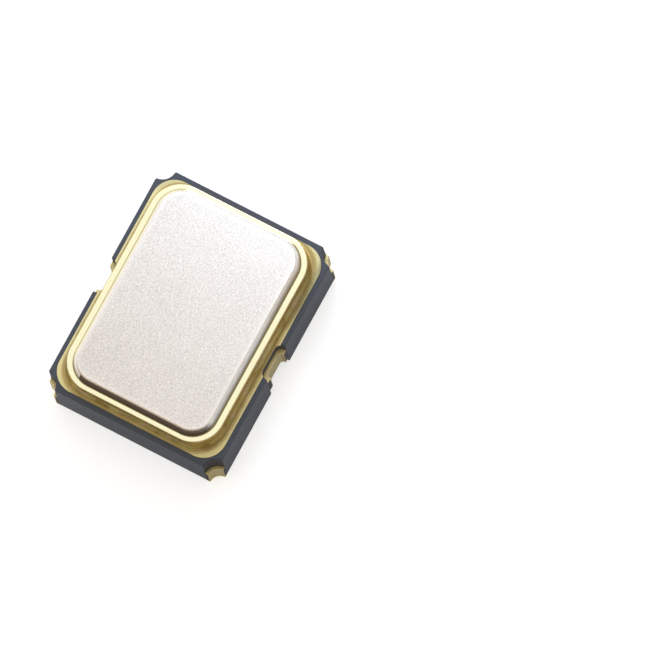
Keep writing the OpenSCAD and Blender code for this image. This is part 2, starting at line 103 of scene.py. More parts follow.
class Side(Enum):
    """The package's long sides, as the sign of Y."""

    FRONT = -1
    BACK = 1


# ---------- modelling ----------


@dataclass(frozen=True)
class Outline:
    """A rounded rectangle seen from above, in millimetres."""

    length: float
    width: float
    radius: float
    x: float = 0.0
    y: float = 0.0

    @classmethod
    def of(cls, node: str, radius: float) -> "Outline":
        """The outline of a CAD node's box.

        Args:
            node: The node's name.
            radius: The radius of the outline's corners.

        Returns:
            The outline.
        """
        low, high = box_mm(node)
        return cls(high.x - low.x, high.y - low.y, radius, (low.x + high.x) / 2,
                   (low.y + high.y) / 2)


def box_mm(node: str) -> tuple[Vector, Vector]:
    """A CAD node's two corners, in millimetres."""
    low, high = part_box(node)
    return low / MM, high / MM


def pick_out(obj: Object) -> None:
    """Makes an object the only selected one, and the active one.

    Args:
        obj: The object.
    """
    bpy.ops.object.select_all(action="DESELECT")
    obj.select_set(True)
    bpy.context.view_layer.objects.active = obj


@contextmanager
def editing(obj: Object, part: Part = Part.FACES, test: Test | None = None) -> Iterator[None]:
    """Opens a mesh in edit mode.

    Args:
        obj: The mesh object.
        part: What the selection is made of.
        test: Tells from the corners of an edge or face whether it is selected. Without
            it everything is.

    Yields:
        Nothing; the mesh is open until the block ends.
    """
    pick_out(obj)
    mesh = obj.data
    if test is not None:
        for group in (mesh.vertices, mesh.edges, mesh.polygons):
            group.foreach_set("select", [False] * len(group))
        corners = [v.co for v in mesh.vertices]
        for item in mesh.edges if part is Part.EDGES else mesh.polygons:
            item.select = test([corners[i] for i in item.vertices])
    bpy.context.tool_settings.mesh_select_mode = part.value
    bpy.ops.object.mode_set(mode="EDIT")
    if test is None:
        bpy.ops.mesh.select_all(action="SELECT")
    yield
    bpy.ops.object.mode_set(mode="OBJECT")


class Workpiece:
    """A closed mesh on the bench, measured in millimetres."""

    def __init__(self, name: str) -> None:
        """Takes the object that was just added, and bakes its place into its mesh.

        Args:
            name: What the piece is called.
        """
        self.obj: Object = bpy.context.active_object
        self.rename(name)
        bpy.ops.object.transform_apply(location=True, rotation=True, scale=True)

    def rename(self, name: str) -> None:
        """Gives the piece and its mesh a name."""
        self.obj.name = self.obj.data.name = name

    @classmethod
    def block(cls, name: str, low: Sequence[float], high: Sequence[float]) -> "Workpiece":
        """Adds a box.

        Args:
            name: What it is called.
            low: Its lowest corner.
            high: Its highest corner.

        Returns:
            The box.
        """
        low, high = Vector(low), Vector(high)
        bpy.ops.mesh.primitive_cube_add(size=1, location=(low + high) / 2, scale=high - low)
        return cls(name)

    @classmethod
    def post(cls, name: str, centre: Point, radius: float, z0: float, z1: float) -> "Workpiece":
        """Adds an upright cylinder.

        Args:
            name: What it is called.
            centre: Where its axis stands.
            radius: Its radius.
            z0: The height of its foot.
            z1: The height of its top.

        Returns:
            The cylinder.
        """
        bpy.ops.mesh.primitive_cylinder_add(
            vertices=4 * ARC_STEPS, radius=radius, depth=z1 - z0,
            location=(*centre, (z0 + z1) / 2))
        return cls(name)

    @classmethod
    def sheet(cls, name: str, plan: Outline, z: float) -> "Workpiece":
        """Adds a single face with rounded corners.

        Args:
            name: What it is called.
            plan: Its outline.
            z: Its height.

        Returns:
            The sheet.
        """
        bpy.ops.mesh.primitive_plane_add(size=1, location=(plan.x, plan.y, z))
        bpy.context.active_object.scale = (plan.length, plan.width, 1)
        piece = cls(name)
        with editing(piece.obj, Part.VERTS):
            bpy.ops.mesh.bevel(offset=plan.radius, offset_type="OFFSET", segments=ARC_STEPS,
                               affect="VERTICES", clamp_overlap=False)
        return piece

    @classmethod
    def slab(cls, name: str, plan: Outline, z0: float, z1: float) -> "Workpiece":
        """Adds a rounded rectangle with a thickness.

        Args:
            name: What it is called.
            plan: Its outline.
            z0: The height of its underside.
            z1: The height of its top.

        Returns:
            The slab.
        """
        piece = cls.sheet(name, plan, z0)
        with editing(piece.obj):
            piece.rise(z1 - z0)
        piece.face_outwards()
        return piece

    @classmethod
    def copy_of(cls, node: str) -> "Workpiece":
        """Copies a CAD node's mesh and merges its corners.

        Args:
            node: The CAD node, which stays as it is.

        Returns:
            The copy, in millimetres.
        """
        obj = bpy.data.objects.new(node + "_copy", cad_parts[node].data.copy())
        bpy.context.scene.collection.objects.link(obj)
        pick_out(obj)
        obj.scale = (1 / MM, 1 / MM, 1 / MM)
        return cls(obj.name).merge()

    @staticmethod
    def rise(height: float) -> None:
        """Extrudes the selected face straight up or down."""
        bpy.ops.mesh.extrude_region_move(TRANSFORM_OT_translate={"value": (0, 0, height)})

    @staticmethod
    def draw_in(path: Sequence[Point]) -> None:
        """Follows a section with the selected face.

        Args:
            path: Steps of (distance inwards, distance up).
        """
        for inwards, upwards in path:
            if inwards > 0:
                bpy.ops.mesh.inset(thickness=inwards, depth=upwards, use_even_offset=True)
            else:
                Workpiece.rise(upwards)

    def open_through(self, z: float) -> None:
        """Takes out the two level faces at a height, and joins the holes they leave.

        Args:
            z: The height of both faces.
        """
        with editing(self.obj, Part.FACES, lambda c: all(abs(p.z - z) < TINY for p in c)):
            bpy.ops.mesh.delete(type="ONLY_FACE")
        with editing(self.obj, Part.EDGES):
            bpy.ops.mesh.select_all(action="DESELECT")
            bpy.ops.mesh.select_non_manifold()
            bpy.ops.mesh.bridge_edge_loops()
        self.face_outwards()

    def _combine(self, joining: Joining, others: Sequence["Workpiece"]) -> None:
        """Combines this solid with others, which are used up.

        Args:
            joining: How they are combined.
            others: The other solids, one after another.
        """
        for other in others:
            change = self.obj.modifiers.new("combine", "BOOLEAN")
            change.operation = joining.value
            change.solver = "EXACT"
            change.object = other.obj
            self._apply(change.name)
            bpy.data.objects.remove(other.obj)

    def cut(self, *tools: "Workpiece") -> None:
        """Takes other pieces away from this one."""
        self._combine(Joining.CUT, tools)

    def add(self, *others: "Workpiece") -> None:
        """Fuses other pieces with this one."""
        self._combine(Joining.ADD, others)

    def keep_inside(self, other: "Workpiece") -> None:
        """Keeps only what lies inside another piece."""
        self._combine(Joining.KEEP, [other])

    def _apply(self, modifier: str) -> None:
        """Applies a modifier by name."""
        pick_out(self.obj)
        bpy.ops.object.modifier_apply(modifier=modifier)

    def soften(self, width: float, clamp: bool = True) -> "Workpiece":
        """Rounds every sharp edge.

        Args:
            width: How far the rounding reaches, in millimetres.
            clamp: Whether the roundings stop where they would meet.

        Returns:
            The piece itself.
        """
        change = self.obj.modifiers.new("soften", "BEVEL")
        change.width = width
        change.segments = SOFT_STEPS
        change.limit_method = "ANGLE"
        change.angle_limit = SHARP_ANGLE
        change.use_clamp_overlap = clamp
        self._apply(change.name)
        return self.merge()

    def round_edges(self, test: Test, radius: float, steps: int) -> None:
        """Rounds some of the edges.

        Args:
            test: Tells from an edge's two ends whether it is rounded.
            radius: How far the rounding reaches, in millimetres.
            steps: The number of faces across it.
        """
        with editing(self.obj, Part.EDGES, test):
            bpy.ops.mesh.bevel(offset=radius, segments=steps, affect="EDGES", clamp_overlap=True)
        self.merge()

    def merge(self) -> "Workpiece":
        """Merges corners that lie on each other.

        Returns:
            The piece itself.
        """
        with editing(self.obj, Part.VERTS):
            bpy.ops.mesh.remove_doubles(threshold=TINY)
            bpy.ops.mesh.dissolve_degenerate(threshold=TINY)
        return self

    def tidy(self) -> "Workpiece":
        """Merges doubles and takes away needless edges on flat faces.

        Returns:
            The piece itself.
        """
        self.merge()
        with editing(self.obj, Part.VERTS):
            bpy.ops.mesh.dissolve_limited(angle_limit=FLAT_ANGLE)
        return self

    def face_outwards(self) -> None:
        """Turns every face outwards."""
        with editing(self.obj):
            bpy.ops.mesh.normals_make_consistent(inside=False)

    def mirrored(self, name: str, across_x: bool, across_y: bool) -> "Workpiece":
        """Copies the piece, with its own mesh, to the other side of the package.

        Args:
            name: What the copy is called.
            across_x: Whether X changes its sign.
            across_y: Whether Y changes its sign.

        Returns:
            The copy.
        """
        pick_out(self.obj)
        bpy.ops.object.duplicate(linked=False)
        bpy.context.active_object.scale = (-1 if across_x else 1, -1 if across_y else 1, 1)
        copy = Workpiece(name)
        copy.face_outwards()
        return copy

    def hand_over(self, finish: "Finish", node: str) -> None:
        """Brings the piece to metres, dresses it and puts it in its CAD node's place.

        Args:
            finish: The finish it wears.
            node: The CAD node that it stands for.
        """
        self.face_outwards()
        obj = self.obj
        bpy.ops.object.shade_smooth_by_angle(angle=SMOOTH_ANGLE)
        weigh = obj.modifiers.new("weigh", "WEIGHTED_NORMAL")
        weigh.keep_sharp = True
        self._apply(weigh.name)
        obj.scale = (MM, MM, MM)
        bpy.ops.object.transform_apply(location=False, rotation=False, scale=True)
        obj.data.materials.clear()
        obj.data.materials.append(finish.material())
        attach(obj, BODY)
        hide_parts(node)
        LOG.info("%s stands for %s: %d faces", obj.name, node, len(obj.data.polygons))


# ---------- shader maths ----------


class Sock:
    """A socket that takes part in Python expressions."""

    def __init__(self, graph: "Graph", socket: NodeSocket | None) -> None:
        """Wraps an output socket of a graph."""
        self.graph = graph
        self.socket = socket

    def maths(self, operation: str, *others: "Sock | float") -> "Sock":
        """Adds a Math node whose first value is this one."""
        return self.graph.add("ShaderNodeMath", {"operation": operation},
                              dict(enumerate((self, *others))))

    def __add__(self, other: "Sock | float") -> "Sock":
        """Adds."""
        return self.maths("ADD", other)

    __radd__ = __add__

    def __mul__(self, other: "Sock | float") -> "Sock":
        """Multiplies."""
        return self.maths("MULTIPLY", other)

    __rmul__ = __mul__

    def __sub__(self, other: "Sock | float") -> "Sock":
        """Subtracts."""
        return self.maths("SUBTRACT", other)

    def __rsub__(self, other: float) -> "Sock":
        """Subtracts this from a number."""
        return self.maths("MULTIPLY", -1.0) + other

    def __pow__(self, other: float) -> "Sock":
        """Raises to a power."""
        return self.maths("POWER", other)

    def __abs__(self) -> "Sock":
        """The size without its sign."""
        return self.maths("ABSOLUTE")

    @property
    def swing(self) -> "Sock":
        """How far a value from 0 to 1 is off its middle."""
        return self - 0.5

    def at_least(self, other: "Sock | float") -> "Sock":
        """The larger of two."""
        return self.maths("MAXIMUM", other)

    def at_most(self, other: "Sock | float") -> "Sock":
        """The smaller of two."""
        return self.maths("MINIMUM", other)

    def ramp(self, low: float, high: float, start: float = 0.0, end: float = 1.0) -> "Sock":
        """Goes smoothly from one value to another between two limits.

        Args:
            low: The limit at which it starts.
            high: The limit at which it ends.
            start: Its value up to the first limit.
            end: Its value from the second limit on.

        Returns:
            The value.
        """
        return self.graph.add(
            "ShaderNodeMapRange", {"interpolation_type": "SMOOTHSTEP"},
            {"Value": self, "From Min": low, "From Max": high, "To Min": start, "To Max": end})

    def fall(self, low: float, high: float) -> "Sock":
        """Goes smoothly from 1 to 0 between two limits."""
        return self.ramp(low, high, 1.0, 0.0)


@dataclass(frozen=True)
class Noise:
    """Cloudy noise from 0 to 1.

    Its scale is in features per millimetre, detail and rough say how much finer noise it
    has, and stretch multiplies its scale along X, Y and Z. As patches, its values across
    the span are drawn out to go from one level to the other.
    """

    scale: float
    detail: float = 2.0
    rough: float = 0.5
    stretch: Place = (1, 1, 1)
    span: Point = (0.3, 0.7)
    level: Point = (0.0, 1.0)


class Graph:
    """The nodes of one material or world, with its coordinates in millimetres."""

    def __init__(self, owner: Material | World) -> None:
        """Empties the owner's node tree and adds the coordinates.

        Args:
            owner: The material or world.
        """
        self.owner = owner
        owner.use_nodes = True
        self.tree = owner.node_tree
        self.tree.nodes.clear()
        place = self.add("ShaderNodeTexCoord", out="Object")
        self.place = self.add("ShaderNodeVectorMath", {"operation": "SCALE"},
                              {0: place, "Scale": 1 / MM})
        apart = self.add("ShaderNodeSeparateXYZ", inputs={0: self.place})
        self.x, self.y, self.z = self.outputs(apart, "X", "Y", "Z")

    def add(self, kind: str, settings: Mapping[str, object] | None = None,
            inputs: Mapping[int | str, object] | None = None, out: int | str = 0) -> Sock:
        """Adds a node.

        Args:
            kind: The node's type.
            settings: Its properties, set first.
            inputs: Values or links for its sockets.
            out: The output to hand back.

        Returns:
            That output, which is empty for a node that has none.
        """
        node: Node = self.tree.nodes.new(kind)
        for key, value in (settings or {}).items():
            setattr(node, key, value)
        for key, value in (inputs or {}).items():
            if isinstance(value, Sock):
                self.tree.links.new(value.socket, node.inputs[key])
            else:
                node.inputs[key].default_value = value
        return Sock(self, node.outputs[out] if len(node.outputs) else None)

    def outputs(self, first: Sock, *names: str) -> list[Sock]:
        """Some of the outputs of the node that an output belongs to, by name."""
        return [Sock(self, first.socket.node.outputs[name]) for name in names]

    def noise(self, kind: Noise) -> Sock:
        """Adds noise.

        Args:
            kind: Its scale, detail and stretch.

        Returns:
            Its value, from 0 to 1.
        """
        place = self.place
        if kind.stretch != (1, 1, 1):
            place = self.add("ShaderNodeVectorMath", {"operation": "MULTIPLY"},
                             {0: self.place, 1: kind.stretch})
        return self.add("ShaderNodeTexNoise", inputs={
            "Vector": place, "Scale": kind.scale, "Detail": kind.detail,
            "Roughness": kind.rough})

    def patches(self, kind: Noise) -> Sock:
        """Adds noise, drawn out into patches."""
        return self.noise(kind).ramp(*kind.span, *kind.level)

    def cells(self, scale: float) -> Sock:
        """Distance to the nearest of some scattered points, per millimetre."""
        return self.add("ShaderNodeTexVoronoi", inputs={"Vector": self.place, "Scale": scale})

    def mix(self, factor: Sock | float, first: Sock | Colour, second: Sock | Colour) -> Sock:
        """Mixes two colours.

        Args:
            factor: How much of the second colour there is, from 0 to 1.
            first: The first colour.
            second: The second colour.

        Returns:
            The mixed colour.
        """
        pair = [c if isinstance(c, Sock) else (*c, 1.0) for c in (first, second)]
        return self.add("ShaderNodeMix", {"data_type": "RGBA"},
                        {0: factor, 6: pair[0], 7: pair[1]}, out=2)

    def shade(self, colour: Sock, amount: Sock) -> Sock:
        """Multiplies a colour by a number."""
        grey = self.add("ShaderNodeCombineXYZ", inputs={0: amount, 1: amount, 2: amount})
        return self.add("ShaderNodeVectorMath", {"operation": "MULTIPLY"}, {0: colour, 1: grey})

    def sine(self, along: Sock, pitch: float) -> Sock:
        """A sine wave whose sign changes once in each pitch, in millimetres."""
        return (along * (math.pi / pitch)).maths("SINE")

    def depth_inside(self, plan: Outline, folded: bool = False) -> Sock:
        """How far a point lies inside a rounded rectangle, in millimetres.

        Args:
            plan: The rounded rectangle.
            folded: Whether its mirror images across the package's middle count as well.

        Returns:
            The depth, which is negative outside.
        """
        x, y = (abs(self.x), abs(self.y)) if folded else (self.x, self.y)
        across = abs(x - plan.x) - (plan.length / 2 - plan.radius)
        along = abs(y - plan.y) - (plan.width / 2 - plan.radius)
        corner = (across.at_least(0.0) ** 2 + along.at_least(0.0) ** 2) ** 0.5
        return plan.radius - (corner + across.at_least(along).at_most(0.0))

    def bump(self, height: Sock, distance: float, under: Sock | None = None) -> Sock:
        """Adds a bump.

        Args:
            height: Its height, from 0 to 1.
            distance: Its full height in millimetres.
            under: A coarser bump that it lies on.

        Returns:
            The normal.
        """
        inputs = {"Height": height, "Strength": 1.0, "Distance": distance * MM}
        if under is not None:
            inputs["Normal"] = under
        return self.add("ShaderNodeBump", inputs=inputs)

    def light(self, colour: Colour, strength: float = 1.0) -> Sock:
        """A surface that gives out light."""
        return self.add("ShaderNodeEmission", inputs={"Color": (*colour, 1.0),
                                                      "Strength": strength})

    def either(self, factor: Sock, first: Sock, second: Sock) -> Sock:
        """Goes from one surface to another as a factor goes from 0 to 1."""
        return self.add("ShaderNodeMixShader", inputs={0: factor, 1: first, 2: second})

    def wear(self, surface: Sock) -> Material:
        """Puts a surface on the material and hands the material over."""
        self.add("ShaderNodeOutputMaterial", inputs={"Surface": surface})
        return self.owner

    def finish(self, **sockets: object) -> Material:
        """Adds the shader and hands the material over.

        Args:
            sockets: Principled BSDF sockets, with an underscore for each space.

        Returns:
            The material.
        """
        return self.wear(self.add("ShaderNodeBsdfPrincipled", inputs={
            name.replace("_", " "): (*value, 1.0) if isinstance(value, tuple) else value
            for name, value in sockets.items()}))


# ---------- finishes ----------


@dataclass(frozen=True, kw_only=True)
class Finish:
    """What a surface is made of: a subclass says how its colour and roughness vary.

    In all finishes a "tone" brightens or darkens the colour, a "share" says how much of
    another colour is mixed in, and a "depth" or "relief" is a bump's height in millimetres.
    """

    slot: str
    colour: Colour
    roughness: float
    uneven: float = 0.2
    look: str = ""

    def material(self) -> Material:
        """Makes the material the first time, and hands out the same one after that.

        Returns:
            The material.
        """
        name = (self.look or self.slot) + "_look"
        made = bpy.data.materials.get(name)
        return made or self.build(Graph(bpy.data.materials.new(name)))

    def build(self, g: Graph) -> Material:
        """Builds the material's nodes."""
        raise NotImplementedError

    def rough(self, noise: Sock) -> Sock:
        """The roughness, which goes up and down with a noise."""
        return self.roughness + noise.swing * self.uneven

    def tinted(self, tint: Colour) -> Colour:
        """The colour, with each of its three numbers multiplied."""
        return tuple(c * t for c, t in zip(self.colour, tint))


@dataclass(frozen=True, kw_only=True)
class FiredCeramic(Finish):
    """Dark co-fired alumina: matt, finely grained, with the joints of its pressed layers, and
    painted shade in its castellations.
    """

    joints: tuple[float, ...]
    punched: tuple[Outline, ...]
    uneven: float = 0.16
    joint_half: float = 0.006
    joint_tone: float = 0.3
    joint_depth: float = 0.003
    joint_breaks: Noise = Noise(9.0, span=(0.35, 0.6), level=(0.35, 1.0))
    punched_reach: float = 0.012
    punched_tone: float = 0.25
    plain_tone: float = 0.62
    cloud: Noise = Noise(2.4, 3.0, 0.6)
    cloud_tone: float = 0.3
    grain: Noise = Noise(70.0, 3.0, 0.7)
    grain_tone: float = 0.42
    grain_depth: float = 0.0016
    specks: float = 26.0
    speck_size: Point = (0.05, 0.16)
    speck_colour: Colour = (0.2, 0.21, 0.22)
    speck_share: float = 0.25
    speck_relief: float = 0.3
    warm_spots: Noise = Noise(30.0)
    warming: Colour = (1.12, 1.02, 0.94)

    def build(self, g: Graph) -> Material:
        """Builds the material's nodes.

        Args:
            g: The material's graph.

        Returns:
            The material.
        """
        grain = g.noise(self.grain)
        specks = g.cells(self.specks).fall(*self.speck_size)
        seam = reduce(Sock.at_least,
                      (abs(g.z - z).fall(0.0, self.joint_half) for z in self.joints))
        ragged = seam * g.patches(self.joint_breaks)
        tone = (self.plain_tone + g.noise(self.cloud) * self.cloud_tone
                + grain * self.grain_tone - ragged * self.joint_tone)
        # Painted shade: the ceramic darkens at the castellations' walls.
        for hole in self.punched:
            wall = g.depth_inside(hole, folded=True).ramp(-self.punched_reach, 0.0)
            tone = tone * (1.0 - wall * (1.0 - self.punched_tone))
        warm = g.mix(g.patches(self.warm_spots), self.colour, self.tinted(self.warming))
        flecked = g.mix(specks * self.speck_share, warm, self.speck_colour)
        height = grain * (1.0 - self.speck_relief) + specks * self.speck_relief
        return g.finish(Base_Color=g.shade(flecked, tone), Metallic=0.0,
                        Roughness=self.rough(grain),
                        Normal=g.bump(height, self.grain_depth,
                                      g.bump(1.0 - ragged, self.joint_depth)))


@dataclass(frozen=True, kw_only=True)
class Plating(Finish):
    """Metal plated over a print: grains of slightly different tone on a fine bump."""

    second: Colour
    uneven: float = 0.25
    grain: Noise = Noise(42.0, 3.0, 0.65)
    fine: Noise = Noise(96.6, 2.0, 0.6)
    fine_tone: float = 0.7
    fine_relief: float = 0.4
    cloud: Noise = Noise(3.0, span=(0.35, 0.65))
    contrast: float = 0.3
    relief: float = 0.0018

    def build(self, g: Graph) -> Material:
        """Builds the material's nodes.

        Args:
            g: The material's graph.

        Returns:
            The material.
        """
        grain, fine = g.noise(self.grain), g.noise(self.fine)
        base = g.mix(g.patches(self.cloud), self.colour, self.second)
        tone = 1.0 + (grain.swing + fine.swing * self.fine_tone) * self.contrast
        height = grain * (1.0 - self.fine_relief) + fine * self.fine_relief
        return g.finish(Base_Color=g.shade(self.stained(g, base), tone), Metallic=1.0,
                        Roughness=self.rough(grain), Normal=g.bump(height, self.relief))

    def stained(self, g: Graph, base: Sock) -> Sock:
        """Changes the colour, with stains and painted shade, where the part's own shape asks for
        it.
        """
        return base


@dataclass(frozen=True, kw_only=True)
class CastellationGold(Plating):
    """Pad plating: rich below, darkened to olive by painted shade on the punched walls, full on
    level lands.
    """

    pad_z: float
    land_z: float
    rich: Colour = (0.93, 0.76, 0.37)
    rich_share: float = 0.85
    thin: Colour = (0.66, 0.56, 0.28)
    thin_above_pad: Point = (-0.004, 0.012)
    thin_below_land: Point = (-0.005, -0.001)
    patchy: Noise = Noise(11.0, 3.0, 0.6, span=(0.25, 0.75), level=(0.8, 1.0))

    def stained(self, g: Graph, base: Sock) -> Sock:
        """Enriches the pad, and paints shade on the walls between it and the land.

        Args:
            g: The material's graph.
            base: The full plating's colour.

        Returns:
            The colour.
        """
        base = g.mix(g.z.ramp(0.0, self.pad_z, self.rich_share, 0.0), base, self.rich)
        # Painted shade: the walls between pad and land go a patchy darker olive.
        wall = ((g.z - self.pad_z).ramp(*self.thin_above_pad)
                * (g.z - self.land_z).fall(*self.thin_below_land))
        return g.mix(wall * g.patches(self.patchy), base, self.thin)


@dataclass(frozen=True, kw_only=True)
class RimGold(Plating):
    """Rim plating with painted shade beside the braze fillet, at one end and along one side, and
    run over by braze in corners.
    """

    fillet: Outline
    fillet_reach: Point = (-0.052, -0.022)
    stain: Colour = (0.40, 0.32, 0.15)
    patchy: Noise = Noise(8.0, 3.0, 0.6, level=(0.6, 1.0))
    run: Outline
    run_reach: Point = (-0.028, 0.0)
    run_colour: Colour = (0.54, 0.385, 0.13)
    run_from: Point = (-1.8, 0.4)
    dull_x: Point = (1.15, 1.40)
    dull_tone: float = 0.73
    worn_y: Point = (-1.17, -1.08)
    worn_along: Point = (0.3, 0.8)
    worn_tone: float = 0.5

    def stained(self, g: Graph, base: Sock) -> Sock:
        """Paints shade on the plating towards the braze, at one end and along one side.

        Args:
            g: The material's graph.
            base: The clean plating's colour.

        Returns:
            The colour.
        """
        ran = g.depth_inside(self.run).ramp(*self.run_reach)
        base = g.mix(ran * (g.x + g.y).ramp(*self.run_from), base, self.run_colour)
        # Painted shade in patches beside the braze fillet.
        fillet_shade = g.depth_inside(self.fillet).ramp(*self.fillet_reach)
        base = g.mix(fillet_shade * g.patches(self.patchy), base, self.stain)
        # Painted shade along the low-Y side from the middle towards high X, and at the high-X end.
        side_shade = g.y.fall(*self.worn_y) * g.x.ramp(*self.worn_along)
        end_shaded = g.x.ramp(*self.dull_x, 1.0, self.dull_tone)
        return g.shade(base, end_shaded * (1.0 - side_shade * (1.0 - self.worn_tone)))


@dataclass(frozen=True, kw_only=True)
class BrazeFlow(Finish):
    """Braze that has flowed and frozen: streaked, blushed in places, dark at its toe, and paler at
    both ends by painted light.
    """

    low_z: float
    streaks: Noise = Noise(5.0, 3.0, 0.6, (1, 1, 4))
    streak_depth: float = 0.004
    dark: Colour = (0.49, 0.39, 0.15)
    patches: Noise = Noise(3.4)
    blush: Colour = (0.70, 0.55, 0.39)
    blush_span: Point = (0.52, 0.64)
    blush_share: float = 0.8
    scorch: Colour = (0.38, 0.26, 0.08)
    scorch_span: Point = (0.34, 0.46)
    scorch_share: float = 0.75
    toe: Colour = (0.25, 0.18, 0.06)
    toe_h: Point = (0.02, 0.05)
    toe_share: float = 0.85
    golden: Colour = (0.49, 0.37, 0.135)
    golden_x: Point = (1.15, 1.38)
    pale_x: Point = (1.30, 1.44)
    pale_tone: float = 1.28
    plain_tone: float = 0.85
    grain: Noise = Noise(38.0, 3.0, 0.6)
    grain_tone: float = 0.3
    grain_depth: float = 0.0012

    def build(self, g: Graph) -> Material:
        """Builds the material's nodes.

        Args:
            g: The material's graph.

        Returns:
            The material.
        """
        streaks, patches, grain = (g.noise(n) for n in (self.streaks, self.patches, self.grain))
        base = g.mix(streaks.ramp(*self.streaks.span), self.colour, self.dark)
        base = g.mix(patches.ramp(*self.blush_span, 0.0, self.blush_share), base, self.blush)
        base = g.mix(patches.ramp(*self.scorch_span, self.scorch_share, 0.0), base, self.scorch)
        base = g.mix((g.z - self.low_z).ramp(*self.toe_h, self.toe_share, 0.0), base, self.toe)
        base = g.mix(g.x.ramp(*self.golden_x), base, self.golden)
        # Painted light: the braze brightens towards both ends.
        tone = ((self.plain_tone + grain * self.grain_tone)
                * abs(g.x).ramp(*self.pale_x, 1.0, self.pale_tone))
        return g.finish(Base_Color=g.shade(base, tone), Metallic=1.0,
                        Roughness=self.rough(grain),
                        Normal=g.bump(grain, self.grain_depth,
                                      g.bump(streaks, self.streak_depth)))


@dataclass(frozen=True, kw_only=True)
class RingPlate(Finish):
    """Bright plating on the seal ring, with painted light: pale where its top catches the light,
    deeper on its walls.
    """

    top_z: float
    top_reach: Point = (-0.012, -0.002)
    wall: Colour = (0.75, 0.6, 0.3)
    uneven: float = 0.12
    plain_tone: float = 0.93
    grain: Noise = Noise(34.0, 3.0, 0.6)
    grain_tone: float = 0.07
    grain_depth: float = 0.0005
    scratches: Noise = Noise(16.0, 2.0, 0.6, (1, 1, 12))
    scratch_depth: float = 0.0008

    def build(self, g: Graph) -> Material:
        """Builds the material's nodes.

        Args:
            g: The material's graph.

        Returns:
            The material.
        """
        grain, scratches = g.noise(self.grain), g.noise(self.scratches)
        # Painted light: the top is paler than the deeper-toned walls.
        base = g.mix((g.z - self.top_z).ramp(*self.top_reach), self.wall, self.colour)
        tone = self.plain_tone + (grain + scratches) * self.grain_tone
        return g.finish(Base_Color=g.shade(base, tone), Metallic=1.0,
                        Roughness=self.rough(grain),
                        Normal=g.bump(grain, self.grain_depth,
                                      g.bump(scratches, self.scratch_depth)))


@dataclass(frozen=True, kw_only=True)
class WeldedNickel(Finish):
    """Fine-grained nickel plate; round it a seam weld's remelted track, with painted shade at two
    sides and at its foot.

    The track is as wide as the weld; its edge and where its painted shade fades are shares of
    that.
    """

    foot: Outline
    foot_z: float
    weld: float
    uneven: float = 0.3
    track: Colour = (0.79, 0.765, 0.735)
    track_edge: Point = (0.86, 1.1)
    track_roughness: float = 0.14
    tone_smoothed: float = 0.9
    relief_smoothed: float = 0.95
    heat: Colour = (0.57, 0.48, 0.41)
    heat_end: Point = (-1.35, -1.20)
    heat_side: Point = (-0.95, -0.87)
    heat_along: Point = (-0.1, 0.8)
    heat_fade: Point = (0.4, 1.0)
    ripple: Noise = Noise(15.0, 1.0)
    ripple_depth: float = 0.0015
    stain: Colour = (0.28, 0.24, 0.15)
    stain_h: Point = (0.030, 0.085)
    border: float = 0.07
    border_tone: float = 0.12
    border_calm: float = 0.5
    grain: Noise = Noise(66.0, 3.0, 0.7)
    grain_tone: float = 1.35
    coarse: Noise = Noise(30.0, 2.0, 0.6)
    coarse_tone: float = 0.35
    coarse_relief: float = 0.3
    grain_depth: float = 0.003
    cloud: Noise = Noise(1.6, 3.0, 0.55)
    cloud_tone: float = 0.13
    tints: Noise = Noise(36.0)
    tinting: Colour = (1.02, 0.975, 0.95)

    def build(self, g: Graph) -> Material:
        """Builds the material's nodes.

        Args:
            g: The material's graph.

        Returns:
            The material.
        """
        grain, coarse = g.noise(self.grain), g.noise(self.coarse)
        depth = g.depth_inside(self.foot)
        track = depth.fall(*(share * self.weld for share in self.track_edge))
        border = depth.fall(self.weld, self.weld + self.border) * (1.0 - track)
        # Painted shade on the track at the low-X end and along the low-Y side, and more painted
        # shade at its foot against the ring.
        side = (g.y.fall(*self.heat_side) * g.x.ramp(*self.heat_along)
                * depth.fall(*(share * self.weld for share in self.heat_fade)))
        slope_shaded = g.x.fall(*self.heat_end).at_least(side)
        weld = g.mix((g.z - self.foot_z).fall(*self.stain_h),
                     g.mix(slope_shaded, self.track, self.heat), self.stain)
        plain = g.mix(g.patches(self.tints), self.colour, self.tinted(self.tinting))
        speckle = grain.swing * self.grain_tone + coarse.swing * self.coarse_tone
        tone = (1.0 + g.noise(self.cloud).swing * self.cloud_tone + border * self.border_tone
                + speckle * (1.0 - track * self.tone_smoothed)
                * (1.0 - border * self.border_calm))
        rough = self.rough(grain)
        height = grain * (1.0 - self.coarse_relief) + coarse * self.coarse_relief
        normal = g.bump(g.noise(self.ripple) * track, self.ripple_depth,
                        g.bump(height * (1.0 - track * self.relief_smoothed),
                               self.grain_depth))
        return g.finish(Base_Color=g.shade(g.mix(track, plain, weld), tone), Metallic=1.0,
                        Roughness=rough + (self.track_roughness - rough) * track,
                        Normal=normal)


@dataclass(frozen=True, kw_only=True)
class Paste(Finish):
    """Metal flakes in adhesive: satin, lumpy and unevenly bright."""

    plain_tone: float = 0.7
    flakes: float = 60.0
    flake_size: Point = (0.2, 0.6)
    flake_metal: Point = (0.8, 0.3)
    flake_tone: float = 0.5
    flake_relief: float = 0.5
    lumps: Noise = Noise(14.0, 3.0, 0.6)
    lump_tone: float = 0.2
    hollow: Colour = (0.85, 0.85, 0.85)
    relief: float = 0.003

    def build(self, g: Graph) -> Material:
        """Builds the material's nodes.

        Args:
            g: The material's graph.

        Returns:
            The material.
        """
        flakes, lumps = g.cells(self.flakes), g.noise(self.lumps)
        base = g.mix(lumps, self.colour, self.tinted(self.hollow))
        tone = self.plain_tone + flakes * self.flake_tone + lumps * self.lump_tone
        return g.finish(Base_Color=g.shade(base, tone), Roughness=self.rough(lumps),
                        Metallic=flakes.ramp(*self.flake_size, *self.flake_metal),
                        Normal=g.bump(flakes * self.flake_relief + lumps, self.relief))


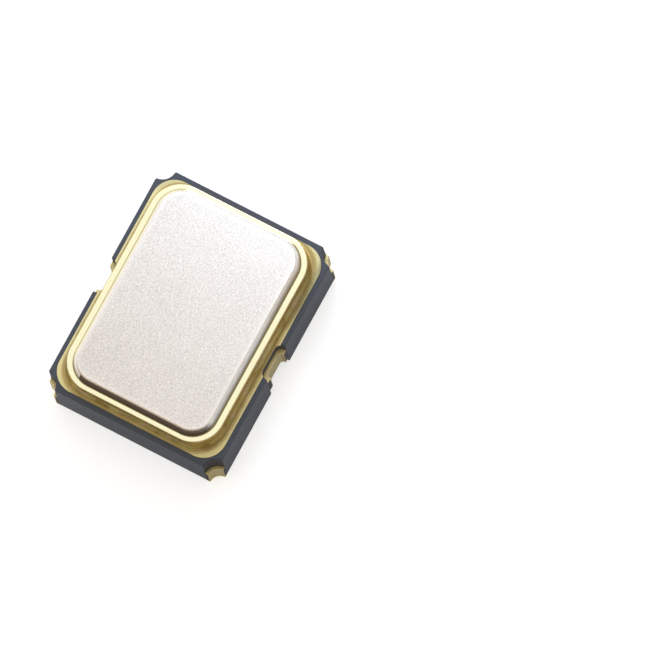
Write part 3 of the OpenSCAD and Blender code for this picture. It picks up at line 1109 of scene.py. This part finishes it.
@dataclass(frozen=True, kw_only=True)
class CircuitDie(Finish):
    """Silicon with the faint blocks of a circuit on its face and sawn sides."""

    top_z: float
    top_reach: Point = (-0.004, -0.001)
    metallic: float = 0.55
    block: Point = (0.07, 0.051)
    block_edge: Point = (-0.08, 0.08)
    block_colour: Colour = (0.36, 0.26, 0.34)
    block_relief: float = 0.2
    line: float = 0.01
    line_edge: Point = (0.3, 0.7)
    line_colour: Colour = (0.24, 0.34, 0.36)
    line_share: float = 0.3
    sawn: Noise = Noise(30.0, 2.0, 0.5, (1, 1, 9))
    sawn_colour: Colour = (0.13, 0.13, 0.15)
    sawn_rough: float = 0.3
    relief: float = 0.002

    def build(self, g: Graph) -> Material:
        """Builds the material's nodes.

        Args:
            g: The material's graph.

        Returns:
            The material.
        """
        face = (g.z - self.top_z).ramp(*self.top_reach)
        blocks = g.sine(g.x, self.block[0]) * g.sine(g.y, self.block[1])
        blocks = blocks.ramp(*self.block_edge)
        lines = g.sine(g.x, self.line).ramp(*self.line_edge, 0.0, self.line_share)
        sawn = g.noise(self.sawn)
        pattern = g.mix(blocks, self.colour, self.block_colour)
        pattern = g.mix(lines, pattern, self.line_colour)
        side = sawn * (1.0 - face)
        return g.finish(Base_Color=g.mix(face, g.mix(sawn, self.colour, self.sawn_colour),
                                         pattern),
                        Metallic=self.metallic, Roughness=self.roughness + side * self.sawn_rough,
                        Normal=g.bump(side + blocks * face * self.block_relief, self.relief))


@dataclass(frozen=True, kw_only=True)
class ClearQuartz(Finish):
    """A lapped quartz blank: clear, faintly frosted, with its edges ground matt."""

    blank: Outline
    frost: Colour = (0.9, 0.92, 0.93)
    frost_w: float = 0.03
    frost_rough: float = 0.4
    lapping: Noise = Noise(80.0, 2.0, 0.6)
    lapping_rough: float = 0.06
    relief: float = 0.0006

    def build(self, g: Graph) -> Material:
        """Builds the material's nodes.

        Args:
            g: The material's graph.

        Returns:
            The material.
        """
        edge = g.depth_inside(self.blank).fall(0.0, self.frost_w)
        lapped = g.noise(self.lapping)
        rough = self.roughness + edge * self.frost_rough + lapped * self.lapping_rough
        return g.finish(Base_Color=g.mix(edge, self.colour, self.frost), Metallic=0.0,
                        IOR=1.54, Transmission_Weight=0.9, Roughness=rough,
                        Normal=g.bump(lapped, self.relief))


# ---------- sub-assemblies ----------


@dataclass(frozen=True)
class Notch:
    """A castellation cut into a long side, in millimetres."""

    length: float
    depth: float
    radius: float

    def outline(self, half_width: float, side: Side) -> Outline:
        """Its outline, which straddles the side."""
        return Outline(self.length, 2 * self.depth, self.radius, 0.0, side.value * half_width)

    def slab(self, half_width: float, side: Side, z0: float, z1: float) -> Workpiece:
        """A rounded slab of its outline."""
        return Workpiece.slab("notch", self.outline(half_width, side), z0, z1)

    def lined(self, plating: float) -> "Notch":
        """What is left of it inside its plating."""
        return Notch(self.length - 2 * plating, self.depth - plating, self.radius - plating)


@dataclass
class PackagePlan:
    """Heights from the CAD frame, and the plan sizes that several pieces share."""

    base: tuple[Vector, Vector] = field(default_factory=lambda: box_mm("ceramic_base"))
    paddle: tuple[Vector, Vector] = field(default_factory=lambda: box_mm("chip_paddle"))
    finger_z: float = field(default_factory=lambda: box_mm("enable_track")[0].z)
    shelf_z: float = field(default_factory=lambda: box_mm("front_crystal_pad")[0].z)
    corner_r: float = 0.15
    corner_bare_r: float = 0.182
    side_notch: Notch = Notch(0.36, 0.072, 0.0576)
    top_notch: Notch = Notch(0.48, 0.106, 0.0916)
    bottom_notch: Notch = Notch(0.48, 0.13, 0.0916)
    cavity: Outline = Outline(2.44, 1.7, 0.16)
    braze_r: float = 0.445

    @property
    def half(self) -> Point:
        """Half the package's length and width."""
        return self.base[1].x, self.base[1].y

    @property
    def floor_z(self) -> float:
        """The height of the cavity's floor."""
        return self.paddle[0].z

    @property
    def print_t(self) -> float:
        """The thickness of a printed conductor."""
        return self.paddle[1].z - self.paddle[0].z

    def punched(self) -> tuple[Outline, Outline]:
        """The castellations' outlines in the quarter where X and Y are positive, where the
        ceramic's painted shade lies.

        Returns:
            The corner's outline and the long side's.
        """
        corner = 2 * self.corner_bare_r
        return (Outline(corner, corner, self.corner_bare_r, *self.half),
                self.top_notch.outline(self.half[1], Side.BACK))

    def block(self, name: str, z0: float, z1: float) -> Workpiece:
        """A block with the package's outline."""
        return Workpiece.block(name, (-self.half[0], -self.half[1], z0), (*self.half, z1))

    def notch_through(self, piece: Workpiece, z0: float, z1: float) -> None:
        """Cuts the top layer's side castellations through a piece between two heights."""
        for side in Side:
            piece.cut(self.top_notch.slab(self.half[1], side, z0 - FAR, z1 + FAR))

    def corner_post(self, corner: Corner, radius: float, z0: float, z1: float) -> Workpiece:
        """A round post on a corner of the package."""
        centre = tuple(s * h for s, h in zip(corner.value, self.half))
        return Workpiece.post("post", centre, radius, z0, z1)


@dataclass
class CeramicPackage:
    """The stepped ceramic base and the metallized rim on it."""

    plan: PackagePlan
    shelf_opening: Outline = Outline(2.0, 1.7, 0.16, x=0.22)
    well: Outline = Outline(1.3, 1.0, 0.08, x=0.2)
    pocket_overlap: float = 0.1
    buried: tuple[str, ...] = (*PRINTS, "ground_via")
    notch_overlap: float = 0.05
    rim_r: float = 0.3
    rim_edge: float = 0.004
    run_r: float = 0.34
    punched_edge: float = 0.03
    punched_steps: int = 4
    top_edge: float = 0.018
    top_steps: int = 3
    other_edges: float = 0.003

    def build(self) -> None:
        """Builds both pieces."""
        self.base().hand_over(self.ceramic(), "ceramic_base")
        self.metallization().hand_over(self.rim_gold(), "seal_metallization")

    def ceramic(self) -> FiredCeramic:
        """The base's finish, with joints at the heights where its layers meet.

        Returns:
            The finish.
        """
        plan = self.plan
        return FiredCeramic(slot="ceramic", colour=(0.045, 0.060, 0.093), roughness=0.55,
                            joints=(plan.floor_z, plan.finger_z, plan.shelf_z),
                            punched=plan.punched())

    def rim_gold(self) -> RimGold:
        """The rim's finish, stained along the braze's outline.

        Returns:
            The finish.
        """
        return RimGold(slot="rim_gold", colour=(0.66, 0.60, 0.32), second=(0.72, 0.66, 0.36),
                       roughness=0.42, contrast=0.2,
                       fillet=Outline.of("braze_joint", self.plan.braze_r),
                       run=Outline.of("braze_joint", self.run_r))

    def base(self) -> Workpiece:
        """Makes the fired body: castellations in its corners and long sides, and the cavity.

        Returns:
            The body.
        """
        plan, half_width = self.plan, self.plan.half[1]
        z0, z1 = plan.base[0].z, plan.base[1].z
        below, above = z0 - FAR, z1 + FAR
        body = plan.block("ceramic_body", z0, z1)
        for corner in Corner:
            body.cut(plan.corner_post(corner, plan.corner_r, below, above),
                     plan.corner_post(corner, plan.corner_bare_r, plan.finger_z, above))
        for side in Side:
            body.cut(plan.side_notch.slab(half_width, side, plan.floor_z - self.notch_overlap,
                                          plan.shelf_z + self.notch_overlap),
                     plan.bottom_notch.slab(half_width, side, below, plan.floor_z),
                     plan.top_notch.slab(half_width, side, plan.shelf_z, above))
        body.tidy()
        by_corner = plan.top_notch.length / 2 + self.punched_edge
        body.round_edges(lambda c: self.upright(c, plan.finger_z) and abs(c[0].x) > by_corner,
                         self.punched_edge, self.punched_steps)
        body.round_edges(lambda c: self.upright(c, plan.shelf_z) and abs(c[0].x) < by_corner,
                         self.punched_edge, self.punched_steps)
        body.round_edges(lambda c: all(abs(p.z - z1) < TINY for p in c), self.top_edge,
                         self.top_steps)
        body.soften(self.other_edges, clamp=False)
        pockets = ((plan.cavity, plan.shelf_z, above),
                   (self.shelf_opening, plan.finger_z, plan.shelf_z + self.pocket_overlap),
                   (self.well, plan.floor_z, plan.finger_z + self.pocket_overlap))
        body.cut(*(Workpiece.slab("pocket", *pocket) for pocket in pockets),
                 *(Workpiece.copy_of(node) for node in self.buried))
        return body.tidy()

    def upright(self, ends: list[Vector], from_z: float) -> bool:
        """Whether an edge stands upright on an outer side, from a height upwards.

        Args:
            ends: The edge's two ends.
            from_z: The height.

        Returns:
            Whether it does.
        """
        first, second = ends
        half = self.plan.half
        return (abs(first.x - second.x) < TINY and abs(first.y - second.y) < TINY
                and min(first.z, second.z) > from_z - TINY
                and (abs(abs(first.x) - half[0]) < TINY or abs(abs(first.y) - half[1]) < TINY))

    def metallization(self) -> Workpiece:
        """Makes the printed and plated rim that the braze wets.

        Returns:
            The rim.
        """
        plan = self.plan
        low, high = box_mm("seal_metallization")
        rim = Workpiece.slab("rim_metallization", Outline.of("seal_metallization", self.rim_r),
                             low.z, high.z)
        rim.cut(Workpiece.slab("pocket", plan.cavity, low.z - FAR, high.z + FAR))
        plan.notch_through(rim, low.z, high.z)
        return rim.tidy().soften(self.rim_edge)


@dataclass
class Terminals:
    """The four solder pads with their plated castellations, and the two side contacts."""

    plan: PackagePlan
    pad: Outline = Outline(0.87, 0.72, 0.03)
    pad_inset: float = 0.08
    collar: float = 0.06
    mark: float = 0.35
    pad_edge: float = 0.005
    contact_edge: float = 0.003
    above_land: float = 0.01

    def build(self) -> None:
        """Builds the terminals and both side contacts."""
        above = self.plan.print_t + self.above_land
        corner_gold = CastellationGold(
            slot="pad_gold", look="corner_gold", colour=(0.84, 0.70, 0.40),
            second=(0.88, 0.76, 0.49), roughness=0.45, contrast=0.5, relief=0.003,
            pad_z=self.plan.base[0].z, land_z=self.plan.finger_z + above)
        side_gold = CastellationGold(
            slot="pad_gold", look="side_gold", colour=(0.84, 0.74, 0.44),
            second=(0.86, 0.78, 0.5), roughness=0.42,
            pad_z=self.plan.base[0].z, land_z=self.plan.shelf_z + above)
        enable = self.terminal("enable_pad", Corner.ENABLE, self.mark)
        output = self.terminal("output_pad", Corner.OUTPUT)
        ground = output.mirrored("ground_pad", False, True)
        supply = output.mirrored("supply_pad", True, False)
        front = self.side_contact("front_side_plating", Side.FRONT)
        back = front.mirrored("back_side_plating", False, True)
        for piece, finish, node in (
                (ground, corner_gold, "ground_terminal"), (supply, corner_gold, "supply_terminal"),
                (output, corner_gold, "output_terminal"), (enable, corner_gold, "enable_terminal"),
                (back, side_gold, "back_side_contact"), (front, side_gold, "front_side_contact")):
            piece.hand_over(finish, node)

    def terminal(self, name: str, corner: Corner, mark: float = 0.0) -> Workpiece:
        """Makes a pad, its collar, the lining of the corner and the plated step above it.

        Args:
            name: What it is called.
            corner: The corner it lies in.
            mark: How far its inner corner is cut back along both sides.

        Returns:
            The terminal.
        """
        plan = self.plan
        pad_t = plan.base[0].z
        top = plan.finger_z + plan.print_t
        size = (self.pad.length, self.pad.width)
        centre = [s * (h - self.pad_inset - l / 2)
                  for s, h, l in zip(corner.value, plan.half, size)]
        pad = Workpiece.slab(name, Outline(*size, self.pad.radius, *centre), 0, pad_t)
        if mark > 0:
            inner = [c - s * l / 2 for c, s, l in zip(centre, corner.value, size)]
            pad.cut(self.diamond(mark, inner))
        pad.add(plan.corner_post(corner, plan.corner_r + self.collar, 0, pad_t),
                plan.corner_post(corner, plan.corner_r, 0, top),
                plan.corner_post(corner, plan.corner_bare_r, plan.finger_z, top))
        pad.keep_inside(plan.block("package", -FAR, FAR))
        pad.cut(plan.corner_post(corner, plan.corner_r - plan.print_t, -FAR, FAR))
        return pad.tidy().soften(self.pad_edge)

    @staticmethod
    def diamond(reach: float, centre: Sequence[float]) -> Workpiece:
        """Makes an upright post whose section is a square standing on its corner.

        Args:
            reach: How far its corners reach from its middle.
            centre: Where its middle lies.

        Returns:
            The post.
        """
        post = Workpiece.block("diamond", (-reach, -reach, -FAR), (reach, reach, FAR))
        with editing(post.obj):
            bpy.ops.transform.rotate(value=math.radians(45), orient_axis="Z",
                                     center_override=(0, 0, 0))
            bpy.ops.transform.resize(value=(math.sqrt(0.5), math.sqrt(0.5), 1),
                                     center_override=(0, 0, 0))
            bpy.ops.transform.translate(value=(*centre, 0))
        return post

    def side_contact(self, name: str, side: Side) -> Workpiece:
        """Makes the lining of a side castellation, with plated steps above and below it.

        Args:
            name: What it is called.
            side: The side it lies in.

        Returns:
            The contact.
        """
        plan, half_width = self.plan, self.plan.half[1]
        low, high = plan.floor_z - plan.print_t, plan.shelf_z + plan.print_t
        lining = plan.side_notch.slab(half_width, side, low, high)
        lining.rename(name)
        lining.add(plan.top_notch.slab(half_width, side, plan.shelf_z, high),
                   plan.bottom_notch.slab(half_width, side, low, plan.floor_z))
        lining.keep_inside(plan.block("package", -FAR, FAR))
        lining.cut(plan.side_notch.lined(plan.print_t).slab(half_width, side, -FAR, FAR))
        return lining.tidy().soften(self.contact_edge)


@dataclass
class Seal:
    """The braze, the seal ring and the welded lid."""

    plan: PackagePlan
    ring_r: float = 0.4
    wall: float = 0.2
    ring_edge: float = 0.012
    ring_steps: int = 4
    climb: float = 0.12
    fillet_steps: int = 8
    inner_fillet: float = 0.02
    inner_steps: int = 4
    lid_r: float = 0.344
    lid_rim: float = 0.022
    weld: float = 0.07
    weld_round: float = 0.02
    weld_steps: int = 6

    def build(self) -> None:
        """Builds the three pieces."""
        bed, lid = box_mm("braze_joint")[0], box_mm("lid")[0]
        self.braze_joint().hand_over(
            BrazeFlow(slot="braze", colour=(0.70, 0.62, 0.28), roughness=0.48, low_z=bed.z),
            "braze_joint")
        self.ring().hand_over(
            RingPlate(slot="ring_gold", colour=(0.97, 0.935, 0.645), roughness=0.18, top_z=lid.z),
            "seal_ring")
        self.lid().hand_over(
            WeldedNickel(slot="lid_nickel", colour=(0.70, 0.687, 0.668), roughness=0.42,
                         foot=Outline.of("lid", self.lid_r), foot_z=lid.z, weld=self.weld),
            "lid")

    @staticmethod
    def steps_along(places: Sequence[Point]) -> list[Point]:
        """The steps from each place to the next."""
        return [(b[0] - a[0], b[1] - a[1]) for a, b in zip(places, places[1:])]

    @staticmethod
    def arc(width: float, height: float, steps: int, hollow: bool = False) -> list[Point]:
        """Goes inwards and up along a quarter of an ellipse.

        Args:
            width: How far it goes inwards.
            height: How far it goes up.
            steps: The number of steps.
            hollow: Whether it starts level, as a fillet does, and not upright.

        Returns:
            Steps of (distance inwards, distance up).
        """
        turns = [math.pi / 2 * i / steps for i in range(steps + 1)]
        return Seal.steps_along([
            (width * math.sin(a), height * (1 - math.cos(a))) if hollow
            else (width * (1 - math.cos(a)), height * math.sin(a)) for a in turns])

    def weld_slope(self, height: float) -> list[Point]:
        """Goes up the welded slope, and over the rounding that joins it to the top.

        Args:
            height: How far the top lies above the rim.

        Returns:
            Steps of (distance inwards, distance up).
        """
        straight = height - self.weld_round
        angle = (math.atan2(straight, self.weld)
                 + math.asin(self.weld_round / math.hypot(self.weld, straight)))
        turns = [angle * (1 - i / self.weld_steps) for i in range(self.weld_steps + 1)]
        return self.steps_along([(0.0, 0.0)] + [
            (self.weld - self.weld_round * math.sin(a),
             height - self.weld_round * (1 - math.cos(a))) for a in turns])

    def braze_joint(self) -> Workpiece:
        """Makes a bed under the ring with a hollow fillet on each side of its wall.

        Returns:
            The joint.
        """
        low, high = box_mm("braze_joint")
        bed = box_mm("seal_ring")[0].z - low.z
        spread = self.plan.braze_r - self.ring_r
        joint = Workpiece.sheet("braze_fillet", Outline.of("braze_joint", self.plan.braze_r),
                                low.z)
        inner = [(inwards, -up) for inwards, up in
                 self.arc(self.inner_fillet, self.inner_fillet, self.inner_steps)]
        with editing(joint.obj):
            joint.rise(bed)
            joint.draw_in(self.arc(spread, self.climb, self.fillet_steps, hollow=True))
            joint.rise(-self.climb)
            joint.draw_in([(self.wall, 0.0)])
            joint.rise(self.inner_fillet)
            joint.draw_in(inner)
            joint.rise(-bed)
        joint.open_through(low.z)
        self.plan.notch_through(joint, low.z, high.z)
        return joint

    def ring(self) -> Workpiece:
        """Makes the ring's upright wall with its rounded top edges.

        Returns:
            The ring.
        """
        low, high = box_mm("seal_ring")
        over = self.arc(self.ring_edge, self.ring_edge, self.ring_steps)
        down = [(up, -inwards) for inwards, up in reversed(over)]
        side = high.z - low.z - self.ring_edge
        ring = Workpiece.sheet("ring_body", Outline.of("seal_ring", self.ring_r), low.z)
        with editing(ring.obj):
            ring.rise(side)
            ring.draw_in([*over, (self.wall - 2 * self.ring_edge, 0.0), *down])
            ring.rise(-side)
        ring.open_through(low.z)
        return ring

    def lid(self) -> Workpiece:
        """Makes the lid: an upright rim, the slope the welding rollers ran on, and its top.

        Returns:
            The lid.
        """
        low, high = box_mm("lid")
        lid = Workpiece.sheet("lid_plate", Outline.of("lid", self.lid_r), low.z)
        with editing(lid.obj):
            lid.rise(self.lid_rim)
            lid.draw_in(self.weld_slope(high.z - low.z - self.lid_rim))
        return lid


@dataclass
class Interior:
    """The conductors, the chip and the crystal inside: CAD nodes in their own finishes."""

    tracks: tuple[str, ...] = (*PRINTS, "chip_paddle")
    wires: tuple[str, ...] = tuple(f"{lead}_wire" for lead in LEADS)
    electrodes: tuple[str, ...] = ("upper_electrode", "lower_electrode")
    pastes: tuple[str, ...] = (
        "chip_adhesive", *(f"{lead}_adhesive" for lead in CRYSTAL_LEADS))
    film_relief: float = 0.0004

    def finishes(self) -> dict[Finish, Sequence[str]]:
        """Pairs each finish with the nodes that wear it.

        Returns:
            The nodes by finish.
        """
        return {
            Plating(slot="track_gold", colour=(0.85, 0.70, 0.38), second=(0.88, 0.74, 0.42),
                    roughness=0.38): self.tracks,
            Plating(slot="tungsten", colour=(0.3, 0.3, 0.32), second=(0.36, 0.35, 0.36),
                    roughness=0.55): ("ground_via",),
            Plating(slot="aluminium", colour=(0.85, 0.86, 0.88), second=(0.8, 0.81, 0.84),
                    roughness=0.3, relief=self.film_relief): ("chip_pads",),
            Plating(slot="wire_gold", colour=(1.0, 0.78, 0.36), second=(0.98, 0.74, 0.3),
                    roughness=0.2, relief=self.film_relief): self.wires,
            Plating(slot="silver_film", colour=(0.92, 0.91, 0.9), second=(0.88, 0.88, 0.88),
                    roughness=0.22, relief=self.film_relief): self.electrodes,
            Paste(slot="silver_paste", colour=(0.62, 0.61, 0.6), roughness=0.45): self.pastes,
            CircuitDie(slot="silicon", colour=(0.2, 0.22, 0.28), roughness=0.25,
                       top_z=box_mm("oscillator_chip")[1].z): ("oscillator_chip",),
            ClearQuartz(slot="quartz", colour=(0.93, 0.96, 0.97), roughness=0.08,
                        blank=Outline.of("quartz_blank", TINY)): ("quartz_blank",),
        }

    def build(self) -> None:
        """Gives each node its finish."""
        for finish, nodes in self.finishes().items():
            for name in nodes:
                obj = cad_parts[name]
                for slot in obj.material_slots:
                    slot.material = finish.material()
                LOG.info("%s keeps its CAD shape", name)


# ---------- studio ----------


@dataclass(frozen=True)
class SkyPatch:
    """A bright patch of the surround, full out to one angle and gone at another."""

    towards: Place
    full_deg: float
    gone_deg: float
    light: Colour


@dataclass(frozen=True)
class Surround:
    """The light all round: dim and warm at one side, brighter overhead, with patches."""

    bright_side: Place = (0.45, 0.3, 0.85)
    spread: Point = (-0.35, 0.95)
    low: Colour = (0.58, 0.54, 0.49)
    high: Colour = (0.86, 0.785, 0.695)
    patches: tuple[SkyPatch, ...] = (
        SkyPatch((0.17, 0.17, 0.97), full_deg=7.0, gone_deg=15.0, light=(1.02, 1.0, 0.98)),
        SkyPatch((0.35, 0.75, 0.58), full_deg=10.0, gone_deg=36.0, light=(1.35, 1.3, 1.26)),
        SkyPatch((-0.85, 0.15, 0.45), full_deg=10.0, gone_deg=32.0, light=(1.05, 0.99, 0.8)))

    def build(self) -> World:
        """Builds the world's nodes.

        Returns:
            The world.
        """
        world = bpy.data.worlds.new("surround")
        g = Graph(world)
        direction = g.add("ShaderNodeTexCoord", out="Generated")

        def towards(way: Place) -> Sock:
            """The cosine of the angle between a direction and the one looked in."""
            return g.add("ShaderNodeVectorMath", {"operation": "DOT_PRODUCT"},
                         {0: direction, 1: Vector(way).normalized()}, out="Value")

        glow = g.mix(towards(self.bright_side).ramp(*self.spread), self.low, self.high)
        for patch in self.patches:
            gone, full = (math.cos(math.radians(a)) for a in (patch.gone_deg, patch.full_deg))
            glow = g.mix(towards(patch.towards).ramp(gone, full), glow, patch.light)
        background = g.add("ShaderNodeBackground", inputs={"Color": glow, "Strength": 1.0})
        g.add("ShaderNodeOutputWorld", inputs={"Surface": background})
        return world


@dataclass(frozen=True)
class Lamp:
    """A square soft light that faces the object; radiance 1 is a white face."""

    name: str
    place: Place
    size: float
    radiance: float
    tint: Colour = WHITE

    def build(self) -> None:
        """Hangs the lamp."""
        data = bpy.data.lights.new(self.name, "AREA")
        data.size = self.size * MM
        data.energy = self.radiance * math.pi * data.size ** 2
        data.color = self.tint
        lamp = bpy.data.objects.new(self.name, data)
        lamp.location = Vector(self.place) * MM
        lamp.rotation_euler = lamp.location.to_track_quat("Z", "Y").to_euler()
        lamp.visible_camera = False
        bpy.context.scene.collection.objects.link(lamp)


@dataclass(frozen=True)
class Floor:
    """White paper that keeps the shadow above it and lets views from below through."""

    z: float = -0.01
    colour: Colour = (0.58, 0.60, 0.63)
    glow: float = 0.6
    shade_middle: Point = (-0.6, -1.6)
    shade_reach: Point = (2.0, 4.8)
    contact: float = 0.05

    def build(self) -> None:
        """Lays the floor."""
        bpy.ops.mesh.primitive_plane_add(size=1, location=(0, 0, self.z * MM))
        floor = bpy.context.active_object
        floor.name = "floor"
        floor.data.materials.append(self.material())

    def material(self) -> Material:
        """White to the camera and in reflections, with a painted shadow in reflections near the
        object, and open to light from below.

        Returns:
            The material.
        """
        g = Graph(bpy.data.materials.new("floor_look"))
        camera, glossy, sent_on, diffuse, shadow, ray = g.outputs(
            g.add("ShaderNodeLightPath"), "Is Camera Ray", "Is Glossy Ray",
            "Is Transmission Ray", "Is Diffuse Ray", "Is Shadow Ray", "Ray Length")
        # Painted shadow: reflections see the floor's glow fade towards a point beside the object.
        away = ((g.x - self.shade_middle[0]) ** 2 + (g.y - self.shade_middle[1]) ** 2) ** 0.5
        seen = camera.at_least(glossy.at_least(sent_on) * away.ramp(*self.shade_reach))
        behind = g.add("ShaderNodeNewGeometry", out="Backfacing")
        close = ray.maths("LESS_THAN", self.contact * MM)
        opened = reduce(Sock.at_least, (behind, diffuse, shadow, close))
        paper = g.add("ShaderNodeBsdfDiffuse", inputs={"Color": (*self.colour, 1.0)})
        lit = g.add("ShaderNodeAddShader", inputs={0: paper, 1: g.light(WHITE, self.glow)})
        clear = g.add("ShaderNodeBsdfTransparent")
        return g.wear(g.either(opened, g.either(seen, paper, lit), clear))


@dataclass(frozen=True)
class DarkCard:
    """A dark card standing round one end, seen only in reflections, where it paints dark
    reflections on the near side.
    """

    sector: Point = (147.0, 250.0)
    radius: float = 3.2
    height: float = 0.85
    steps: int = 72
    light: Colour = (0.15, 0.125, 0.105)
    fade: Point = (-2.1, -0.9)

    def build(self) -> None:
        """Stands the card on the floor."""
        height = self.height * MM
        bpy.ops.mesh.primitive_cylinder_add(
            vertices=self.steps, radius=self.radius * MM, depth=height, end_fill_type="NOTHING",
            location=(0, 0, height / 2))
        card = Workpiece("dark_card").obj
        with editing(card, Part.FACES, self.outside):
            bpy.ops.mesh.delete(type="FACE")
        card.visible_camera = card.visible_diffuse = False
        card.visible_shadow = card.visible_transmission = False
        g = Graph(bpy.data.materials.new("card_look"))
        clear = g.add("ShaderNodeBsdfTransparent")
        # Painted reflection: a dark glow that fades along X, seen only by glossy rays.
        card.data.materials.append(
            g.wear(g.either(g.x.ramp(*self.fade), g.light(self.light), clear)))

    def outside(self, corners: list[Vector]) -> bool:
        """Whether a face stands outside the card's sector.

        Args:
            corners: The face's corners.

        Returns:
            Whether it does.
        """
        middle = sum(corners, Vector()) / len(corners)
        turn = math.degrees(math.atan2(middle.y, middle.x)) % 360
        return not self.sector[0] < turn < self.sector[1]


@dataclass(frozen=True)
class Camera:
    """A long lens looking down past one corner of the object, in degrees and millimetres."""

    azimuth: float = -134.94
    elevation: float = 75.70
    roll: float = -17.09
    view_w: float = 8.409
    aside: Point = (1.758, -0.004)
    lens: float = 1000.0
    sensor: float = 36.0
    clip: Point = (0.1, 20.0)

    def build(self) -> None:
        """Turns the camera, and moves it back until its view is as wide as stated.

        It sees what lies between two distances, which are given as shares of its own.
        """
        data = bpy.data.cameras.new("camera")
        data.lens = self.lens
        data.sensor_width = self.sensor
        distance = self.view_w * self.lens / self.sensor
        data.clip_start, data.clip_end = (distance * MM * share for share in self.clip)
        turn = (Matrix.Rotation(math.radians(self.azimuth + 90), 4, "Z")
                @ Matrix.Rotation(math.radians(90 - self.elevation), 4, "X")
                @ Matrix.Rotation(math.radians(self.roll), 4, "Z"))
        base = Vector((0, 0, box_mm("ceramic_base")[0].z))
        place = base + turn @ Vector((*self.aside, distance))
        camera = bpy.data.objects.new("camera", data)
        camera.matrix_world = Matrix.Translation(place * MM) @ turn
        bpy.context.scene.collection.objects.link(camera)
        bpy.context.scene.camera = camera


@dataclass
class Studio:
    """A pale floor, soft light and the camera."""

    camera: Camera = Camera()
    surround: Surround = Surround()
    floor: Floor = Floor()
    card: DarkCard = DarkCard()
    lamps: tuple[Lamp, ...] = (
        Lamp("key", (6.0, 1.0, 8.0), size=4.0, radiance=5.0, tint=(0.82, 0.97, 1.2)),
        Lamp("below", (0.0, 0.0, -60.0), size=24.0, radiance=3.2))

    def build(self) -> None:
        """Sets up everything round the object."""
        bpy.context.scene.view_settings.view_transform = "Standard"
        bpy.context.scene.world = self.surround.build()
        for piece in (self.camera, self.floor, *self.lamps, self.card):
            piece.build()


def main() -> None:
    """Builds the studio and the sub-assemblies in order."""
    logging.basicConfig(level=logging.INFO, format="%(name)s: %(message)s")
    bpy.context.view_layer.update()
    plan = PackagePlan()
    for group in (Studio(), CeramicPackage(plan), Terminals(plan), Seal(plan), Interior()):
        LOG.info("building %s", type(group).__name__)
        group.build()


if __name__ == "__main__":
    main()
